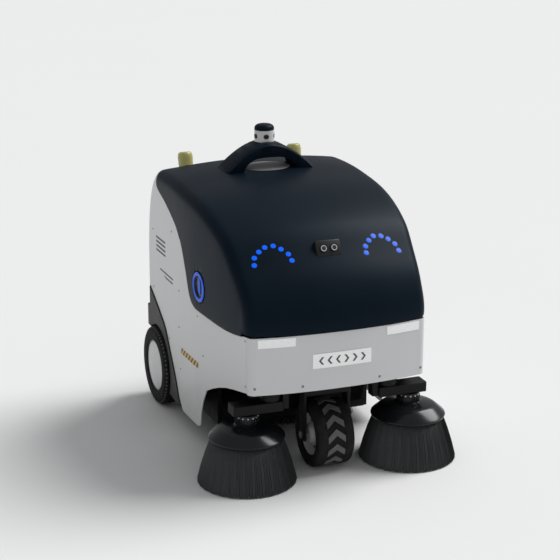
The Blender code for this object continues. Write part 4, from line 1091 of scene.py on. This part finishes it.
class SWEEPER_OT_main_brush(bpy.types.Operator):
    """The main roller's helical rows of filaments"""
    bl_idname = "sweeper.main_brush"
    bl_label = "Main brush"

    ROWS = 10
    ALONG = 120

    def execute(self, context):
        draw = random.Random(11)
        middle, half = box_middle("roller_bristles")
        core = 0.045
        r = half.z
        bm = bmesh.new()
        for n in range(self.ALONG):
            f = (n + 0.5) / self.ALONG
            x = middle.x + (2 * f - 1) * (half.x - 0.006)
            angle = 2.2 * abs(2 * f - 1)
            for _ in range(3):
                turn = angle + draw.uniform(-0.12, 0.12)
                out = Vector((0, math.cos(turn), math.sin(turn)))
                length = r - 0.001 - draw.random() * 0.006
                tilt = Matrix.Rotation(turn, 4, "X") @ Matrix.Rotation(-math.pi / 2, 4, "X")
                centre = Vector((x + draw.uniform(-0.003, 0.003), middle.y, middle.z)) \
                    + out * (core - 0.002 + length) / 2
                bmesh.ops.create_cone(bm, cap_ends=True, segments=4, radius1=0.0022, radius2=0.0014,
                                      depth=length - core + 0.002, matrix=Matrix.Translation(centre) @ tilt)
        repeated(bm, "X", middle, self.ROWS)
        publish("roller_filaments", bm, "bristle", "main_brush", ["roller_bristles"], angle=80, tidy=False)
        return {"FINISHED"}


class SWEEPER_OT_machinery(bpy.types.Operator):
    """Straps, fins, pleats and terminals on what the hood covers"""
    bl_idname = "sweeper.machinery"
    bl_label = "Under the hood"

    def pleats(self):
        middle, half = box_middle("filter_cartridge")
        r, low, high = half.x, middle.z - half.z, middle.z + half.z
        bm = bmesh.new()
        count = 60
        outline = []
        for n in range(count * 2):
            radius = r - 0.003 if n % 2 else r - 0.018
            angle = math.pi * n / count
            outline.append((middle.x + radius * math.cos(angle), middle.y + radius * math.sin(angle)))
        face = bm.faces.new([bm.verts.new((x, y, low + 0.010)) for x, y in outline])
        made = bmesh.ops.extrude_face_region(bm, geom=[face])["geom"]
        top = [g for g in made if isinstance(g, bmesh.types.BMVert)]
        bmesh.ops.translate(bm, verts=top, vec=(0, 0, high - low - 0.020))
        obj = publish("filter_pleats", bm, "paper", "chassis", ["filter_cartridge"], angle=20)
        caps = bmesh.new()
        for base, rise in ((low, 0.012), (high - 0.012, 0.012)):
            turned([(0, base), (r - 0.002, base), (r, base + 0.002), (r, base + rise - 0.002),
                    (r - 0.002, base + rise), (0, base + rise)], "Z", (middle.x, middle.y, 0), 48, caps)
        publish("filter_caps", caps, "rubber", "chassis")

    def battery(self):
        low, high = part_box("battery_pack")
        straps = bmesh.new()
        for share in (0.25, 0.75):
            y = low.y + (high.y - low.y) * share
            block((low.x - 0.003, high.x + 0.003), (y - 0.015, y + 0.015), (low.z + 0.001, high.z + 0.003),
                  straps)
        publish("battery_straps", straps, "rubber", "chassis", bevel=0.001)
        posts = bmesh.new()
        for x in (-0.06, 0.06):
            turned([(0, high.z - 0.001), (0.012, high.z - 0.001), (0.012, high.z + 0.010),
                    (0.009, high.z + 0.014), (0, high.z + 0.014)], "Z", (x, (low.y + high.y) / 2, 0), 20,
                   posts)
        publish("battery_posts", posts, "steel", "chassis")

    def controller(self):
        low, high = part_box("controller_box")
        fins = bmesh.new()
        for n in range(16):
            x = low.x + 0.020 + n * (high.x - low.x - 0.040) / 15
            block((x - 0.0015, x + 0.0015), (low.y + 0.008, high.y - 0.008),
                  (high.z - 0.001, high.z + 0.014), fins)
        publish("controller_fins", fins, "cast", "chassis")

    def execute(self, context):
        self.pleats()
        self.battery()
        self.controller()
        return {"FINISHED"}


class SWEEPER_OT_rear_fittings(bpy.types.Operator):
    """Louvres, the stop button's collar and a charging socket at the back"""
    bl_idname = "sweeper.rear_fittings"
    bl_label = "Rear fittings"

    def execute(self, context):
        tree = surface_of(bpy.data.objects["rear_shell_skin"])
        middle, _ = box_middle("emergency_button")
        place = standing(tree, (middle.x, 2, middle.z + 0.027), (0, -1, 0))
        place = place @ Matrix.Translation((0, 0, -0.027))
        collar = turned([(0.0215, 0.001), (0.0215, -0.0025), (0.0300, -0.0025), (0.0320, 0.001)], "Y",
                        (0, 0, 0), 40, ring=True)
        publish("stop_collar", added(bmesh.new(), collar, place), "yellow", "chassis")
        louvres = bmesh.new()
        for n in range(9):
            place = standing(tree, (0, 2, 0.80 + 0.026 * n), (0, -1, 0))
            outline = oval(0.150, 0.0055, 28)
            added(louvres, slab(outline, 0.0022), place)
        publish("rear_louvres", louvres, "black_plastic", "chassis", bevel=0.0006)
        place = standing(tree, (0.28, 2, 0.62), (0, -1, 0))
        socket = turned([(0, 0.001), (0.018, 0.001), (0.018, -0.001), (0.026, -0.002), (0.030, -0.0022),
                         (0.032, 0.001)], "Y", (0, 0, 0), 36)
        publish("charge_socket", added(bmesh.new(), socket, place), "black_plastic", "chassis")
        return {"FINISHED"}


class SWEEPER_OT_stage(bpy.types.Operator):
    """Pale floor, soft light and the camera"""
    bl_idname = "sweeper.stage"
    bl_label = "Stage"

    def floor(self):
        bm = bmesh.new()
        bmesh.ops.create_grid(bm, x_segments=1, y_segments=1, size=FLOOR_HALF)
        mesh = bpy.data.meshes.new("studio_floor")
        bm.to_mesh(mesh)
        bm.free()
        obj = bpy.data.objects.new("studio_floor", mesh)
        bpy.context.scene.collection.objects.link(obj)
        finish = Finish("studio_floor", 0.9)
        cloud = finish.noise(0.6, 2.0)
        finish.put(Base_Color=finish.blend(cloud, (0.795, 0.795, 0.795), (0.805, 0.805, 0.805)))
        mesh.materials.append(finish.material)

    def lights(self):
        sun = bpy.data.lights.new("key_sun", "SUN")
        sun.energy = KEY_POWER
        sun.angle = math.radians(KEY_SPREAD)
        key = bpy.data.objects.new("key_sun", sun)
        key.rotation_euler = Vector(KEY_TRAVEL).to_track_quat("-Z", "Y").to_euler()
        bpy.context.scene.collection.objects.link(key)
        world = bpy.data.worlds.new("studio_air")
        world.use_nodes = True
        background = world.node_tree.nodes["Background"]
        background.inputs["Color"].default_value = (0.98, 0.99, 1.0, 1.0)
        background.inputs["Strength"].default_value = AIR_LIGHT
        bpy.context.scene.world = world

    def camera(self):
        lens = bpy.data.cameras.new("view")
        lens.sensor_width = 36.0
        lens.lens = CAMERA_LENS
        lens.clip_end = 200.0
        obj = bpy.data.objects.new("view", lens)
        obj.location = CAMERA_PLACE
        obj.rotation_euler = (math.radians(90 - CAMERA_DIP), 0, math.radians(CAMERA_TURN))
        bpy.context.scene.collection.objects.link(obj)
        bpy.context.scene.camera = obj

    def execute(self, context):
        self.floor()
        self.lights()
        self.camera()
        context.scene.view_settings.view_transform = "Standard"
        return {"FINISHED"}


class SWEEPER_PT_panel(bpy.types.Panel):
    """Lists the sweeper's sizes, colours and pieces"""
    bl_idname = "SWEEPER_PT_panel"
    bl_label = "Sweeper"
    bl_space_type = "VIEW_3D"
    bl_region_type = "UI"
    bl_category = "Sweeper"

    def draw(self, context):
        layout = self.layout
        for group in (context.scene.sweeper_sizes, context.scene.sweeper_colours):
            for name in group.__annotations__:
                layout.prop(group, name)
        for operator in OPERATORS:
            layout.operator(operator.bl_idname)


OPERATORS = (
    SWEEPER_OT_plain_pieces, SWEEPER_OT_shells, SWEEPER_OT_eye_lamps, SWEEPER_OT_ring_lamps,
    SWEEPER_OT_camera, SWEEPER_OT_roof_arch, SWEEPER_OT_roof_sensor, SWEEPER_OT_beacons,
    SWEEPER_OT_screws, SWEEPER_OT_front_plate, SWEEPER_OT_side_graphics, SWEEPER_OT_front_tyre,
    SWEEPER_OT_rear_wheels, SWEEPER_OT_front_hub, SWEEPER_OT_side_brushes, SWEEPER_OT_main_brush,
    SWEEPER_OT_machinery, SWEEPER_OT_rear_fittings, SWEEPER_OT_stage,
)
CLASSES = (SweeperSizes, SweeperColours, *OPERATORS, SWEEPER_PT_panel)


def register():
    for cls in CLASSES:
        bpy.utils.register_class(cls)
    bpy.types.Scene.sweeper_sizes = bpy.props.PointerProperty(type=SweeperSizes)
    bpy.types.Scene.sweeper_colours = bpy.props.PointerProperty(type=SweeperColours)


def unregister():
    del bpy.types.Scene.sweeper_colours
    del bpy.types.Scene.sweeper_sizes
    for cls in reversed(CLASSES):
        bpy.utils.unregister_class(cls)


def main():
    register()
    FINISHES.update(make_finishes(bpy.context.scene.sweeper_colours))
    for operator in OPERATORS:
        group, name = operator.bl_idname.split(".")
        getattr(getattr(bpy.ops, group), name)()


if __name__ == "__main__":
    main()
